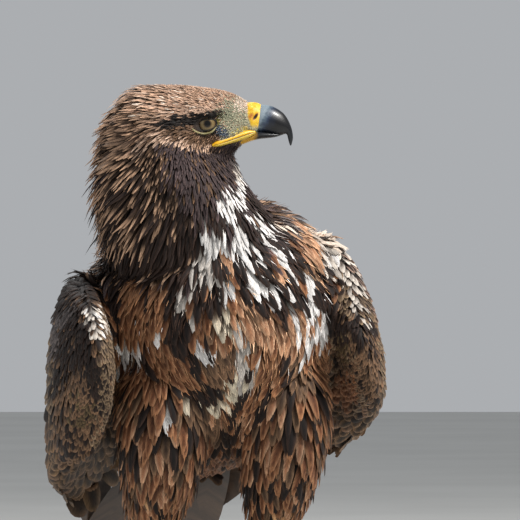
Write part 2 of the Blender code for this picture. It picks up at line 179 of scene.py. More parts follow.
# Each sort of feather: its colours at the root, down the middle, over the vane, along the edges and at the
# tip, how much the edge colour shows, and where along the feather the tip colour starts.
SORTS = {
    "dark": ("#0d0a0a", "#120d0c", "#1e1512", "#4a352b", "#2b1e18", 0.5, 0.82),
    "rufous": ("#22150f", "#4a2c1b", "#744a31", "#b38a68", "#9a6d4c", 0.6, 0.8),
    "tan": ("#3a281c", "#7b543b", "#9b7056", "#ccab8c", "#b98f70", 0.65, 0.75),
    "white": ("#79756f", "#c2c0be", "#d0cecd", "#e4e2e2", "#dad8d8", 0.4, 0.7),
    # The next sort is the white feathers as they look in shade: painted shade.
    "shaded_white": ("#3a3633", "#7f7a76", "#9d9893", "#c4bfb9", "#b4aea8", 0.5, 0.6),
    "grey": ("#2c241d", "#4f4236", "#877968", "#d2c8b6", "#c8bda9", 0.75, 0.6),
    "umber": ("#1d1511", "#32241c", "#54402f", "#8d7058", "#765a44", 0.6, 0.75),
    "throat": ("#0f0b0e", "#150f12", "#241a1c", "#6d5b5a", "#4f4140", 0.55, 0.8),
    "crown": ("#5b453c", "#6f5346", "#957664", "#bd9d87", "#ae8e77", 0.6, 0.55),
    "wheat": ("#6b5548", "#937765", "#a98d7b", "#c9b09d", "#bea38f", 0.55, 0.6),
    "cheek": ("#43342d", "#5f4b40", "#7d6556", "#a58a75", "#987c67", 0.6, 0.55),
    # The next sort is near black: dark feathers behind the eye, and the brow's shadow painted over the eye.
    "eyeline_and_brow_shadow": ("#080707", "#0c0a09", "#14100f", "#2a211c", "#1e1713", 0.4, 0.8),
    "hackle": ("#0d0a0a", "#2a1c14", "#1a1310", "#65503f", "#b39177", 0.6, 0.7),
    "lore": ("#4d4f44", "#5b5c4f", "#6a6b5c", "#85856f", "#8e8d79", 0.5, 0.5),
    "moss": ("#6f6330", "#8f7d33", "#a8943c", "#b5a559", "#b0a153", 0.4, 0.6),
    "slate": ("#14171e", "#262c3a", "#333c50", "#4d586b", "#59636f", 0.4, 0.6),
    "whorl": ("#4b4f44", "#565a4d", "#6b6f5e", "#7d806f", "#83866f", 0.4, 0.6),
    "cream": ("#71655a", "#a89a8c", "#b5a799", "#cdc0b4", "#c5b7aa", 0.5, 0.5),
    "scaly": ("#1d1612", "#2b211a", "#493a2d", "#8f7a65", "#857058", 0.85, 0.8),
    "oval": ("#120e0c", "#1a1310", "#2c2019", "#b5988a", "#a98b78", 0.85, 0.88),
    "lilac": ("#151112", "#262020", "#433b3a", "#756b69", "#675d5b", 0.7, 0.8),
    "speckle": ("#3a3430", "#4e4640", "#958d86", "#cdc6be", "#c2bab1", 0.7, 0.6),
    "olive": ("#1d1610", "#2f2519", "#473926", "#78654a", "#6b583e", 0.6, 0.8),
    "mantle": ("#120e0c", "#1b1411", "#2f221a", "#6b523e", "#5d4634", 0.6, 0.86),
    "covert": ("#17110e", "#241a15", "#42311f", "#947557", "#86694d", 0.8, 0.86),
    "boot": ("#3d2b1f", "#7c5a41", "#9c7453", "#c7a27b", "#b88f68", 0.6, 0.6),
}
SORT_NAMES = list(SORTS)
SORT_COLOURS = np.array([[linear(c) for c in SORTS[s][:5]] for s in SORT_NAMES])
SORT_EDGE = np.array([SORTS[s][5] for s in SORT_NAMES])
SORT_TIP = np.array([SORTS[s][6] for s in SORT_NAMES])
# Sorts that lie over the others.
TOP_SORTS = [SORT_NAMES.index(name) for name in ("dark", "throat", "rufous", "oval")]

# Markings of the breast, belly and shoulders, by sort: x, z, half width, half height and the lean of the
# marking's length in degrees.
MARKINGS = {
    "white": [
        (6, 367, 5, 9, 0), (18, 382, 2.5, 6, 0), (21, 364, 3.125, 8, -20), (16, 346, 4.375, 14, -27),
        (34, 354, 3.125, 7, -33), (43, 340, 6.25, 7, -33), (-6, 336, 10, 9, 0), (15, 325, 6.25, 8, -10),
        (29, 323, 7.5, 7, -20), (51, 327, 4.375, 8, -20), (56, 309, 3.75, 4, 0), (33, 303, 8.75, 9, -20),
        (45, 297, 7.5, 7, -15), (70, 297, 8.75, 6, 0), (72, 284, 5, 9, 0), (78, 267, 11.875, 14, 20),
        (72, 254, 6.25, 7, 0), (67, 241, 3.125, 7, 0), (-16, 251, 8.75, 6, 0), (-60, 249, 8.75, 5, 0),
        (-65, 268, 3.75, 5, 0), (-68, 234, 8.75, 5, 0), (-49, 259, 2.5, 6, 0), (-43, 271, 2.5, 6, 0),
        (-42, 193, 3.125, 5, 0), (-82, 259, 2.5, 8, 0), (-73, 248, 5, 5, 0), (58, 233, 3.75, 4, 0),
        (97, 249, 5, 3, 0), (86, 295, 2.5, 5, 0), (7, 294, 3.75, 4, 0), (91, 321, 3.125, 7, -30),
        (18, 386, 2.25, 5, -15),
    ],
    # White feathers painted as they look in shade, on the shaded side and low on the breast.
    "shaded_white": [
        (-16, 323, 6, 9, 0), (-6, 306, 8, 11, -15), (-25, 289, 6, 9, 0), (-21, 276, 3, 5, 0),
        (19, 240, 4, 17, 0), (29, 233, 3, 12, 10),
    ],
    "grey": [(8, 272, 8, 8, 0), (10, 222, 9, 6, -30), (-10, 204, 12, 3, 0)],
    "dark": [
        (30, 330, 6, 29, -25), (56, 324, 5, 22, -28), (20, 307, 4, 13, -10), (37, 306, 2.5, 13, -25),
        (61, 289, 5, 14, -8), (47, 283, 4, 13, -5), (34, 285, 3, 8, 0), (-3, 289, 9, 6, -20),
        (-14, 286, 5, 11, 0), (-32, 309, 11, 12, 0), (-52, 313, 14, 8, 0), (-57, 295, 4, 12, 0),
        (-82, 281, 4, 16, 0), (-30, 265, 9, 18, -12), (-23, 246, 5, 11, -25), (-54, 238, 5, 14, -28),
        (-18, 213, 10, 7, -20), (50, 245, 3, 8, 0), (57, 223, 3, 9, 20), (78, 295, 3, 11, 0),
        (1, 315, 6, 6, 0), (0, 351, 8, 10, 0), (-30, 338, 12, 14, 0), (42, 366, 12, 16, -40),
        # The tall dark ovals at x 93 and 96 darken the gap between the breast and the wing: dark feathers
        # there, and painted shadow.
        (93, 284, 6, 28, -22), (-72, 322, 14, 9, 0), (96, 270, 6, 20, 0), (-105, 312, 12, 24, 42),
        (-128, 290, 6, 12, 0),
    ],
    "speckle": [(89, 323, 7, 12, -20), (15, 395, 2, 8, -20)],
    "rufous": [
        (-66, 285, 8, 18, 0), (-48, 282, 7, 14, 0), (-62, 262, 14, 9, 0), (-42, 240, 9, 10, -20),
        (-60, 216, 16, 12, 0), (-25, 229, 12, 6, 0), (40, 240, 9, 14, 0), (86, 236, 12, 16, 0),
        (69, 356, 4, 3, 0),
    ],
    "tan": [
        (17, 282, 6, 11, 0), (6, 323, 4, 10, -20), (73, 324, 6, 25, -20), (28, 268, 9, 13, 0),
        (45, 262, 7, 13, 0), (70, 271, 6, 8, 0), (61, 257, 7, 9, 0), (50, 310, 3, 8, -20),
        (80, 348, 4, 12, -60),
    ],
    "umber": [(-5, 232, 13, 10, -40), (64, 226, 10, 12, 0), (-15, 185, 14, 9, 0)],
    "lilac": [(60, 354, 12, 7, -60), (12, 403, 1.8, 9, -20)],
    "cream": [(55, 348, 4, 7, -50), (93, 338, 6, 24, -63)],
}
# Markings of the folded wings as they show from ahead.
WING_MARKINGS = {
    "cream": [(90, 340, 7, 24, -66), (119, 319, 6, 16, -40)],
    "tan": [(137, 287, 4, 20, -18)],
    "speckle": [
        (101, 321, 8, 12, -25), (111, 304, 7, 15, -35), (116, 282, 4, 14, -30), (-102, 271, 6, 10, -20),
    ],
    "white": [(102, 322, 2, 6, -30), (-104, 277, 2, 5, -60), (-97, 263, 1.6, 5, -20)],
    "scaly": [(113, 290, 8, 20, -30), (138, 245, 4, 30, -3), (-90, 225, 7, 38, 0), (-142, 240, 5, 34, 0)],
    "oval": [(127, 299, 7, 26, -28)],
    "dark": [
        # The tall dark oval at x 97 darkens the same gap between the breast and the wing: dark feathers, and
        # painted shadow.
        (119, 262, 8, 12, -20), (97, 280, 4, 28, -27), (-129, 222, 5, 13, 20), (-120, 302, 14, 26, 48),
        (-135, 286, 6, 10, 0), (-119, 251, 11, 17, 10), (-103, 224, 7, 14, 0),
    ],
    "umber": [(122, 236, 12, 18, 0), (-120, 213, 12, 18, 0)],
    "rufous": [(110, 213, 8, 12, 0)],
    "olive": [(108, 250, 5, 9, 0), (-116, 200, 8, 10, 0)],
    "lilac": [(-128, 274, 3, 14, 50), (-133, 262, 3, 20, 10)],
}
# Markings of the head, the same on both its sides.
FACE_MARKINGS = {
    # Near black behind the eye, and along the brow over the eye as the brow's painted shadow.
    "eyeline_and_brow_shadow": [
        (-33, 438.4, 4.2, 13, 84), (-12, 444.4, 2.4, 15, 84), (3, 445.6, 1.8, 4, 80),
        (-20.5, 437, 2.6, 3.5, 0), (-9.5, 431.4, 2, 9, 96),
    ],
    "umber": [(-35.5, 428, 5, 8, 90), (-13, 427.5, 3.4, 14, 100), (-24, 430, 6, 8, 90)],
    "cheek": [(-9, 414.5, 4, 6, 60)],
    "wheat": [(-8.5, 416, 3, 4.5, 60), (-42, 413, 12, 15, 60), (-14, 449, 2, 10, 82)],
    "throat": [(7, 416.5, 5, 11, 66), (8, 409, 9, 17, 62), (-8, 404, 10, 13, 60)],
    "slate": [(3.5, 431.5, 3.4, 5.2, -40), (8, 427.5, 2, 4, -60)],
    "lore": [(14, 440, 9.5, 13, 0), (11, 429.5, 3, 8, 64)],
    "whorl": [(8.6, 445.2, 3.6, 3.6, 0)],
    "cream": [(19, 453, 5, 4, -60)],
    "moss": [(19, 432.6, 2, 7, 68)],
}

# ------------------------------------------------------------------------------------ small tools


def ease(low, high, value):
    """0 below low, 1 above high, and a soft step between."""
    share = np.clip((value - low) / (high - low), 0, 1)
    return share * share * (3 - 2 * share)


def unit(vectors):
    """The vectors at length 1."""
    return vectors / np.maximum(np.linalg.norm(vectors, axis=-1, keepdims=True), 1e-9)


def dot(a, b):
    """How far one vector goes along the other, row by row."""
    return np.sum(a * b, axis=-1, keepdims=True)


def mottle(points, size, seed):
    """Soft patches of about this size, from 0 to 1."""
    rng = np.random.default_rng(seed)
    total = np.zeros(len(points))
    for _ in range(7):
        way = rng.normal(size=3)
        way *= 2 * math.pi / size * rng.uniform(0.6, 1.5) / np.linalg.norm(way)
        total += np.sin(points @ way + rng.uniform(0, 2 * math.pi))
    return np.clip(0.5 + total / 7, 0, 1)


def smooth_rows(rows, count):
    """A table of rings read as smooth curves, at evenly spaced rows."""
    table = np.array(rows, float)
    padded = np.vstack([2 * table[0] - table[1], table, 2 * table[-1] - table[-2]])
    made = []
    for place in np.linspace(0, len(table) - 1, count):
        k = min(int(place), len(table) - 2)
        t = place - k
        before, start, end, after = padded[k : k + 4]
        bend = (2 * before - 5 * start + 4 * end - after) * t
        twist = (3 * start - before - 3 * end + after) * t * t
        made.append(start + 0.5 * t * ((end - before) + bend + twist))
    return np.array(made)


def ring_frames(rows, count, across=(1, 0, 0), facing=None):
    """Centre, width direction, height direction, half width and half height of each ring."""
    rows = smooth_rows(rows, count)
    frames = []
    for k, row in enumerate(rows):
        along = Vector(rows[min(k + 1, count - 1)][:3] - rows[max(k - 1, 0)][:3]).normalized()
        along = Vector(facing) if facing else along
        wide = Vector(across) - along * along.dot(Vector(across))
        wide.normalize()
        wide.rotate(Matrix.Rotation(math.radians(row[5]), 3, along))
        frames.append((Vector(row[:3]), wide, along.cross(wide), row[3], row[4]))
    return frames


def bridge(bm, rings, endless=False):
    """Skins a row of rings of points. An open row is capped."""
    loops = []
    for ring in rings:
        verts = [bm.verts.new(point) for point in ring]
        loops.append([bm.edges.new((verts[s - 1], verts[s])) for s in range(len(verts))])
    pairs = list(zip(loops, loops[1:]))
    if endless:
        pairs.append((loops[-1], loops[0]))
    for first, second in pairs:
        bmesh.ops.bridge_loops(bm, edges=first + second)
    if not endless:
        ends = bmesh.ops.holes_fill(bm, edges=loops[0] + loops[-1], sides=0)["faces"]
        bmesh.ops.poke(bm, faces=ends)
    bmesh.ops.recalc_face_normals(bm, faces=bm.faces)


def loft(rows, count, around, across=(1, 0, 0), facing=None, form=None):
    """A bmesh through oval rings. form(turn, place) reshapes them, as shares of their width and height."""
    bm = bmesh.new()
    rings = []
    for k, (centre, wide, tall, half_wide, half_tall) in enumerate(ring_frames(rows, count, across, facing)):
        ring = []
        for step in range(around):
            turn = 2 * math.pi * step / around
            u, v = (math.cos(turn), math.sin(turn)) if form is None else form(turn, k / (count - 1))
            ring.append(centre + wide * (u * half_wide) + tall * (v * half_tall))
        rings.append(ring)
    bridge(bm, rings)
    return bm


def blade(rows, count, around):
    """A bmesh through rings in the head's middle plane, each full at its cutting edges and drawn in above."""
    bm = bmesh.new()
    rings = []
    for top_x, top_z, low_x, low_z, wide in smooth_rows(rows, count):
        top, low = Vector((top_x, HEAD_Y, top_z)), Vector((low_x, HEAD_Y, low_z))
        ring = []
        for step in range(around):
            turn = 2 * math.pi * step / around
            u, v = math.cos(turn), math.sin(turn)
            u *= 1 - 0.2 * v if v > 0 else 1 + 0.12 * v * v
            ring.append((top + low) / 2 + Vector((0, u * wide, 0)) + (top - low) * (v / 2))
        rings.append(ring)
    bridge(bm, rings)
    return bm


def mirrored(rows, side):
    """Rings of the left side, as they are on this side."""
    flip = SIDES[side]
    return [(flip * x, y, z, wide, tall, flip * roll) for x, y, z, wide, tall, roll in rows]


def push(bm, centre, reach, move):
    """Moves the surface near a point, less and less out to the reach, as a sculptor's thumb does."""
    centre, move = Vector(centre), Vector(move)
    for vertex in bm.verts:
        share = (vertex.co - centre).length / reach
        if share < 2:
            vertex.co += move * math.exp(-2 * share * share)


def grow(bm, by):
    """Moves the surface outwards."""
    bm.normal_update()
    for vertex in bm.verts:
        vertex.co += vertex.normal * by


def meshed(name, bm):
    """The bmesh as a mesh. The bmesh is used up, here and wherever this is called."""
    mesh = bpy.data.meshes.new(name)
    bm.to_mesh(mesh)
    bm.free()
    return mesh


def placed(name, data):
    """An object in the scene, at the origin."""
    made = bpy.data.objects.new(name, data)
    bpy.context.scene.collection.objects.link(made)
    return made


def piece(name, bm, finish):
    """A finished piece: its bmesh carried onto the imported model, with its material."""
    bmesh.ops.transform(bm, matrix=FROM_BIRD, verts=bm.verts)
    mesh = meshed(name, bm)
    mesh.shade_smooth()
    mesh.materials.append(finish)
    made = placed(name, mesh)
    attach(made, "root")
    return made


def absorb(whole, part):
    """Adds a bmesh to another one."""
    mesh = meshed("part", part)
    whole.from_mesh(mesh)
    bpy.data.meshes.remove(mesh)


def melted(bm, voxel, rounds):
    """The bmesh's solids melted into one skin, and smoothed."""
    mesh = meshed("melt", bm)
    thing = placed("melt", mesh)
    melt = thing.modifiers.new("melt", "REMESH")
    melt.mode = "VOXEL"
    melt.voxel_size = voxel
    graph = bpy.context.evaluated_depsgraph_get()
    made = bmesh.new()
    made.from_mesh(thing.evaluated_get(graph).to_mesh())
    bpy.data.objects.remove(thing)
    bpy.data.meshes.remove(mesh)
    axes = dict(use_axis_x=True, use_axis_y=True, use_axis_z=True)
    for _ in range(rounds):
        bmesh.ops.smooth_vert(made, verts=made.verts, factor=0.5, **axes)
    return made


def write_values(mesh, label, values):
    """Writes a number or a colour for each point of a mesh."""
    values = np.asarray(values, np.float32)
    kind, field = "FLOAT", "value"
    if values.ndim > 1:
        kind, field = "FLOAT_COLOR", "color"
        values = np.column_stack([values, np.ones(len(values), np.float32)])
    layer = mesh.attributes.new(label, kind, "POINT")
    layer.data.foreach_set(field, values.ravel())


def note_points(made, **fields):
    """Writes numbers per point, each worked out by a function of the point in the bird's frame."""
    for label, read in fields.items():
        write_values(made.data, label, [read(INTO_BIRD @ vertex.co) for vertex in made.data.vertices])


# ------------------------------------------------------------------------------------ materials

# Settings that many nodes share: one colour laid over another, two multiplied, and sums.
OVER = dict(data_type="RGBA")
TINTED = dict(data_type="RGBA", blend_type="MULTIPLY")
TIMES = dict(operation="MULTIPLY")
MINUS = dict(operation="SUBTRACT")


def tone(value):
    """A colour as linear values: made from its code, from one number for a grey, or given as it is."""
    if isinstance(value, str):
        return linear(value)
    return value if isinstance(value, tuple) else (value,) * 3


class Finish:
    """A material, and one way to add nodes to it."""

    def __init__(self, name):
        self.material = bpy.data.materials.new(name)
        self.material.use_nodes = True
        self.tree = self.material.node_tree
        self.shader = self.tree.nodes["Principled BSDF"]

    def feed(self, socket, value):
        """Sets an input to a value, or feeds it from a node's first output or the one in (node, name)."""
        if isinstance(value, bpy.types.Node):
            self.tree.links.new(next(output for output in value.outputs if output.enabled), socket)
        elif isinstance(value, tuple) and isinstance(value[0], bpy.types.Node):
            self.tree.links.new(value[0].outputs[value[1]], socket)
        else:
            socket.default_value = (*tone(value), 1) if socket.type == "RGBA" else value

    def add(self, kind, *inputs, stops=(), **settings):
        """Adds a node with its settings. Its inputs are given in the order in which it shows them, and stops
        are the places and colours of a ramp."""
        node = self.tree.nodes.new("ShaderNode" + kind)
        for key, value in settings.items():
            setattr(node, key, value)
        for socket, value in zip([socket for socket in node.inputs if socket.enabled], inputs):
            self.feed(socket, value)
        for k, (place, colour) in enumerate(stops):
            band = node.color_ramp.elements
            element = band[k] if k < len(band) else band.new(place)
            element.position, element.color = place, (*tone(colour), 1)
        return node

    def surface(self, colour, relief=None, strength=0.0, depth=0.0, **values):
        """Sets the shader. Relief is the node that gives its height, and depth is in metres."""
        values["Base Color"] = colour
        if relief:
            bump = self.add("Bump")
            self.feed(bump.inputs["Strength"], strength)
            self.feed(bump.inputs["Distance"], depth)
            self.feed(bump.inputs["Height"], relief)
            values["Normal"] = bump
        for key, value in values.items():
            self.feed(self.shader.inputs[key.replace("_", " ")], value)
        return self.material


def vane_places(finish, slant):
    """Out from the shaft; and all of along the shaft, out from it, and a number of the feather's own. Along a
    barb, the place on the shaft stays the same: it is the height less what the barb has risen."""
    vane = finish.add("UVMap", uv_map="vane")
    split = finish.add("SeparateXYZ", vane)
    side = finish.add("Math", (split, "X"), operation="ABSOLUTE")
    rise = finish.add("Math", side, slant, **TIMES)
    barb = finish.add("Math", (split, "Y"), rise, **MINUS)
    chance = finish.add("Attribute", attribute_name="chance")
    return side, finish.add("CombineXYZ", barb, side, (chance, "Fac"))


def vane_finish():
    """Feather vanes: barbs run out from the shaft towards the tip, fine streaks with a dull silky sheen."""
    finish = Finish("feather_vane")
    tint = finish.add("Attribute", attribute_name="tint")
    side, place = vane_places(finish, 1.9)
    # Barbs of about 1 mm, drawn coarser than real ones so that they show.
    streak = finish.add("VectorMath", place, (0.95, 0.25, 90), **TIMES)
    barbs = finish.add("TexNoise", streak, 1, 4, 0.75)
    contrast = [(0.34, (0.42, 0.4, 0.38)), (0.5, 0.95), (0.66, (1.6, 1.57, 1.52))]
    shade = finish.add("ValToRGB", barbs, stops=contrast)
    # The shaft is a thin pale line down the middle.
    shaft = finish.add("ValToRGB", side, stops=[(0.12, (1.45, 1.4, 1.35)), (0.3, 1)])
    colour = finish.add("Mix", 1, tint, shade, **TINTED)
    colour = finish.add("Mix", 1, colour, shaft, **TINTED)
    silk = dict(Roughness=0.65, Specular_IOR_Level=0.2, Sheen_Weight=0.03, Sheen_Roughness=0.5)
    return finish.surface(colour, barbs, 0.55, 0.0005, **silk)


def quill_finish():
    """Flight feathers: closer, firmer barbs than the body's, faint cross bars and a smooth dull gloss."""
    finish = Finish("flight_feather")
    tint = finish.add("Attribute", attribute_name="tint")
    _, place = vane_places(finish, 1.3)
    # Barbs of about 1 mm here too.
    streak = finish.add("VectorMath", place, (0.9, 0.1, 90), **TIMES)
    barbs = finish.add("TexNoise", streak, 1, 4, 0.7)
    contrast = [(0.3, (0.7, 0.68, 0.66)), (0.55, 1), (0.75, (1.25, 1.22, 1.2))]
    shade = finish.add("ValToRGB", barbs, stops=contrast)
    # Cross bars about 18 mm apart.
    bars = finish.add("VectorMath", place, (0.055, 0, 50), **TIMES)
    barring = finish.add("TexNoise", bars, 1, 1)
    bar = finish.add("ValToRGB", barring, stops=[(0.42, (0.62, 0.6, 0.58)), (0.56, (1.15, 1.12, 1.1))])
    colour = finish.add("Mix", 1, tint, shade, **TINTED)
    colour = finish.add("Mix", 0.75, colour, bar, **TINTED)
    gloss = dict(Roughness=0.58, Specular_IOR_Level=0.22, Sheen_Weight=0.02)
    return finish.surface(colour, barbs, 0.35, 0.0003, **gloss)


def skin_finish():
    """The skin under the plumage: matt, soft and finely grained, in the colours of the feathers over it."""
    finish = Finish("feathered_skin")
    tint = finish.add("Attribute", attribute_name="tint")
    place = finish.add("TexCoord")
    grain = finish.add("TexNoise", (place, "Object"), 900, 3)  # grains of about 1 mm
    shade = finish.add("ValToRGB", grain, stops=[(0.3, 0.7), (0.7, 1.15)])
    colour = finish.add("Mix", 1, tint, shade, **TINTED)
    return finish.surface(colour, grain, 0.5, 0.0006, Roughness=0.7, Specular_IOR_Level=0.3)


def bird_places(finish):
    """The place on the bird in its own millimetres, and the same split into X, Y and Z."""
    place = finish.add("TexCoord")
    mapping = finish.add("Mapping", (place, "Object"), -HOME / MM, (0, 0, 0), (1 / MM,) * 3)
    return mapping, finish.add("SeparateXYZ", mapping)


def horn_finish():
    """Bill horn: pale blue-grey at the base, drawn into glossy black at the cutting edge and the hook."""
    finish = Finish("bill_horn")
    place, axes = bird_places(finish)
    # How far the blackness has come: further along the bill, and lower down towards the cutting edge.
    run = finish.add("MapRange", (axes, "X"), 36, 53, clamp=False)
    fall = finish.add("MapRange", (axes, "Z"), 441, 407, clamp=False)
    cloud = finish.add("TexNoise", place, 0.28, 3)  # clouds of about 4 mm
    stir = finish.add("MapRange", cloud, 0, 1, -0.25, 0.25, clamp=False)
    black = finish.add("Math", finish.add("Math", run, fall), stir)
    ages = [(0, "#75828b"), (0.12, "#54636f"), (0.27, "#2a364b"), (0.5, "#131926"), (0.9, "#09090d")]
    colour = finish.add("ValToRGB", black, stops=ages)
    # Below z 430 the horn turns near black: the lower bill's and the hook's own dark colour, and painted
    # shade under the upper bill.
    edge = finish.add("MapRange", (axes, "Z"), 430, 434.5)
    colour = finish.add("Mix", edge, "#14171b", colour, **OVER)
    # The root of the lower bill is still yellow.
    rear = finish.add("Math", (axes, "X"), finish.add("Math", cloud, 4, **TIMES))
    colour = finish.add("Mix", finish.add("MapRange", rear, 31, 35.5), "#c0922a", colour, **OVER)
    grain = finish.add("TexNoise", place, 1.3, 5, 0.65)  # scuffs of about 0.8 mm
    wear = finish.add("ValToRGB", grain, stops=[(0.35, 0.75), (0.7, 1.3)])
    colour = finish.add("Mix", 0.8, colour, wear, **TINTED)
    polish = dict(Roughness=0.38, Specular_IOR_Level=0.35, Coat_Weight=0.15, Coat_Roughness=0.18)
    return finish.surface(colour, grain, 0.25, 0.0003, **polish)


def cere_finish():
    """Waxy skin of the cere: bright yellow in front, orange-brown behind the nostril, black in its slit."""
    finish = Finish("cere_skin")
    place, axes = bird_places(finish)
    speck = finish.add("TexNoise", place, 1.5, 3, 0.7)  # pores of about 0.7 mm, coarse to show
    grey = finish.add("ValToRGB", speck, stops=[(0.4, "#5f6252"), (0.5, "#a3a48c"), (0.62, "#c3c4ad")])
    cloud = finish.add("TexNoise", place, 0.35, 3)  # patches of about 3 mm
    yellow = finish.add("ValToRGB", cloud, stops=[(0.3, "#c4950f"), (0.55, "#deb62a"), (0.8, "#ecd060")])
    # The yellow starts where x + 0.29 z is about 154, so further back at the top, and it runs out below.
    stir = finish.add("MapRange", speck, 0, 1, -2, 2, clamp=False)
    ahead = finish.add("VectorMath", place, (1, 0, 0.29), operation="DOT_PRODUCT")
    front = finish.add("MapRange", finish.add("Math", ahead, stir), 153.377, 154.777)
    low = finish.add("MapRange", finish.add("Math", (axes, "Z"), stir), 433.5, 437.5)
    colour = finish.add("Mix", finish.add("Math", front, low, **TIMES), grey, yellow, **OVER)
    # Slanting soft-edged ovals behind and round the nostril, and the nostril; their edges are shares of 6 mm.
    for x, z, flat, edges, paint in (
        (-3.9, 0.5, (1.3, 0, 0.85), (0.15, 0.62), "#a8651a"),
        (0, 0, (1.9, 0, 0.72), (0.34, 0.56), "#9a5a18"),
        (0.1, 0, (2.4, 0, 0.88), (0.3, 0.5), "#140a05"),
    ):
        off = finish.add("VectorMath", place, tuple(NOSTRIL + Vector((x, 0, z))), **MINUS)
        turned = finish.add("VectorRotate", off, (0, 0, 0), math.radians(-36), rotation_type="Y_AXIS")
        reach = finish.add("VectorMath", finish.add("VectorMath", turned, flat, **TIMES), operation="LENGTH")
        share = finish.add("Math", reach, 1 / 6, **TIMES)
        oval = finish.add("ValToRGB", share, stops=[(edges[0], 1), (edges[1], 0)])
        colour = finish.add("Mix", oval, colour, paint, **OVER)
    shade = finish.add("ValToRGB", speck, stops=[(0.35, (0.85, 0.83, 0.78)), (0.65, 1.1)])
    colour = finish.add("Mix", 0.8, colour, shade, **TINTED)
    wax = dict(Roughness=0.45, Specular_IOR_Level=0.45, Coat_Weight=0.08, Subsurface_Weight=0.06)
    return finish.surface(colour, speck, 0.35, 0.0005, Subsurface_Scale=0.002, **wax)


def gape_finish():
    """Soft yellow lips at the corner of the mouth: the lower bright, the upper duller, the seam painted dark
    as shade.
    """
    finish = Finish("gape_skin")
    seam = finish.add("Attribute", attribute_name="seam")
    upper = finish.add("Attribute", attribute_name="ring")
    place, _ = bird_places(finish)
    pores = finish.add("TexNoise", place, 0.8, 4)  # creases of about 1.2 mm
    bright = finish.add("ValToRGB", pores, stops=[(0.3, "#c98f08"), (0.7, "#f0c01e")])
    dull = finish.add("ValToRGB", pores, stops=[(0.3, "#a3851f"), (0.7, "#c9ae3c")])
    colour = finish.add("Mix", (upper, "Fac"), bright, dull, **OVER)
    # The groove where the lips meet is painted dark: painted shade in that crease.
    dark = finish.add("ValToRGB", (seam, "Fac"), stops=[(0.35, 0), (0.75, 1)])
    colour = finish.add("Mix", dark, colour, "#1a1208", **OVER)
    soft = dict(Roughness=0.4, Specular_IOR_Level=0.45, Subsurface_Weight=0.06, Subsurface_Scale=0.002)
    return finish.surface(colour, pores, 0.3, 0.0004, **soft)


def toe_finish():
    """Yellow scaled skin of the toes: worn ochre, darker between the scales and towards the floor."""
    finish = Finish("toe_scales")
    place, axes = bird_places(finish)
    scales = finish.add("TexVoronoi", place, 0.55, feature="DISTANCE_TO_EDGE")  # scales of about 1.8 mm
    edge = finish.add("ValToRGB", scales, stops=[(0, 0), (0.16, 1)])
    cloud = finish.add("TexNoise", place, 0.12, 4)  # wear in patches of about 8 mm
    body = finish.add("ValToRGB", cloud, stops=[(0.3, "#c08d1f"), (0.55, "#d9a92f"), (0.75, "#e3c15c")])
    colour = finish.add("Mix", edge, "#7c5a1c", body, **OVER)
    # Darker towards the floor, up to 5 mm.
    height = finish.add("MapRange", (axes, "Z"), 1, 5)
    colour = finish.add("Mix", height, "#6e5022", colour, **OVER)
    return finish.surface(colour, edge, 0.6, 0.0005, Roughness=0.5, Specular_IOR_Level=0.4)


def claw_finish():
    """Claw horn: black and polished, with browner grain here and there."""
    finish = Finish("claw_horn")
    place, _ = bird_places(finish)
    grain = finish.add("TexNoise", place, 0.9, 5)  # grain of about 1 mm
    colour = finish.add("ValToRGB", grain, stops=[(0.3, "#0d0c0d"), (0.6, "#1d1b1c"), (0.8, "#3a342f")])
    polish = dict(Roughness=0.28, Specular_IOR_Level=0.5, Coat_Weight=0.3, Coat_Roughness=0.15)
    return finish.surface(colour, grain, 0.2, 0.0003, **polish)


def eye_finish():
    """The eyeball: black pupil, hazel iris with radial threads and a dark rim, under a wet clear cornea."""
    finish = Finish("eye_wet")
    ring = finish.add("Attribute", attribute_name="ring")
    spoke = finish.add("Attribute", attribute_name="spoke")
    # The threads change quickly round the pupil and slowly away from it.
    along = finish.add("CombineXYZ", (spoke, "Fac"), finish.add("Math", (ring, "Fac"), 1.2, **TIMES))
    threads = finish.add("TexNoise", along, 9, 4, 0.7)
    rings = [(0, "#020202"), (0.195, "#040302"), (0.225, "#3a2c1f"), (0.36, "#776746")]
    rings += [(0.5, "#6d5b3c"), (0.585, "#3a2a1c"), (0.66, "#0d0a08")]
    iris = finish.add("ValToRGB", (ring, "Fac"), stops=rings)
    shade = finish.add("ValToRGB", threads, stops=[(0.3, (0.62, 0.6, 0.55)), (0.7, (1.35, 1.3, 1.2))])
    colour = finish.add("Mix", 1, iris, shade, **TINTED)
    wet = dict(Roughness=0.3, Specular_IOR_Level=0.2, Coat_Weight=0.35, Coat_Roughness=0.02)
    return finish.surface(colour, **wet)


def lid_finish():
    """Bare skin of the eyelids: olive yellow on the lower lid, near black on the upper, partly as painted
    shade under the brow; finely wrinkled.
    """
    finish = Finish("eyelid_skin")
    lower = finish.add("Attribute", attribute_name="seam")
    place, _ = bird_places(finish)
    folds = finish.add("TexNoise", place, 1.4, 4)  # wrinkles of about 0.7 mm
    pale = finish.add("ValToRGB", folds, stops=[(0.35, "#5d5536"), (0.65, "#a39a6b")])
    # The near black is partly the lids' dark edge and partly painted shade under the brow.
    dark = finish.add("ValToRGB", folds, stops=[(0.3, "#0b0908"), (0.7, "#1c1612")])
    colour = finish.add("Mix", (lower, "Fac"), dark, pale, **OVER)
    return finish.surface(colour, folds, 0.5, 0.0003, Roughness=0.5, Specular_IOR_Level=0.4)


# ------------------------------------------------------------------------------------ the skin


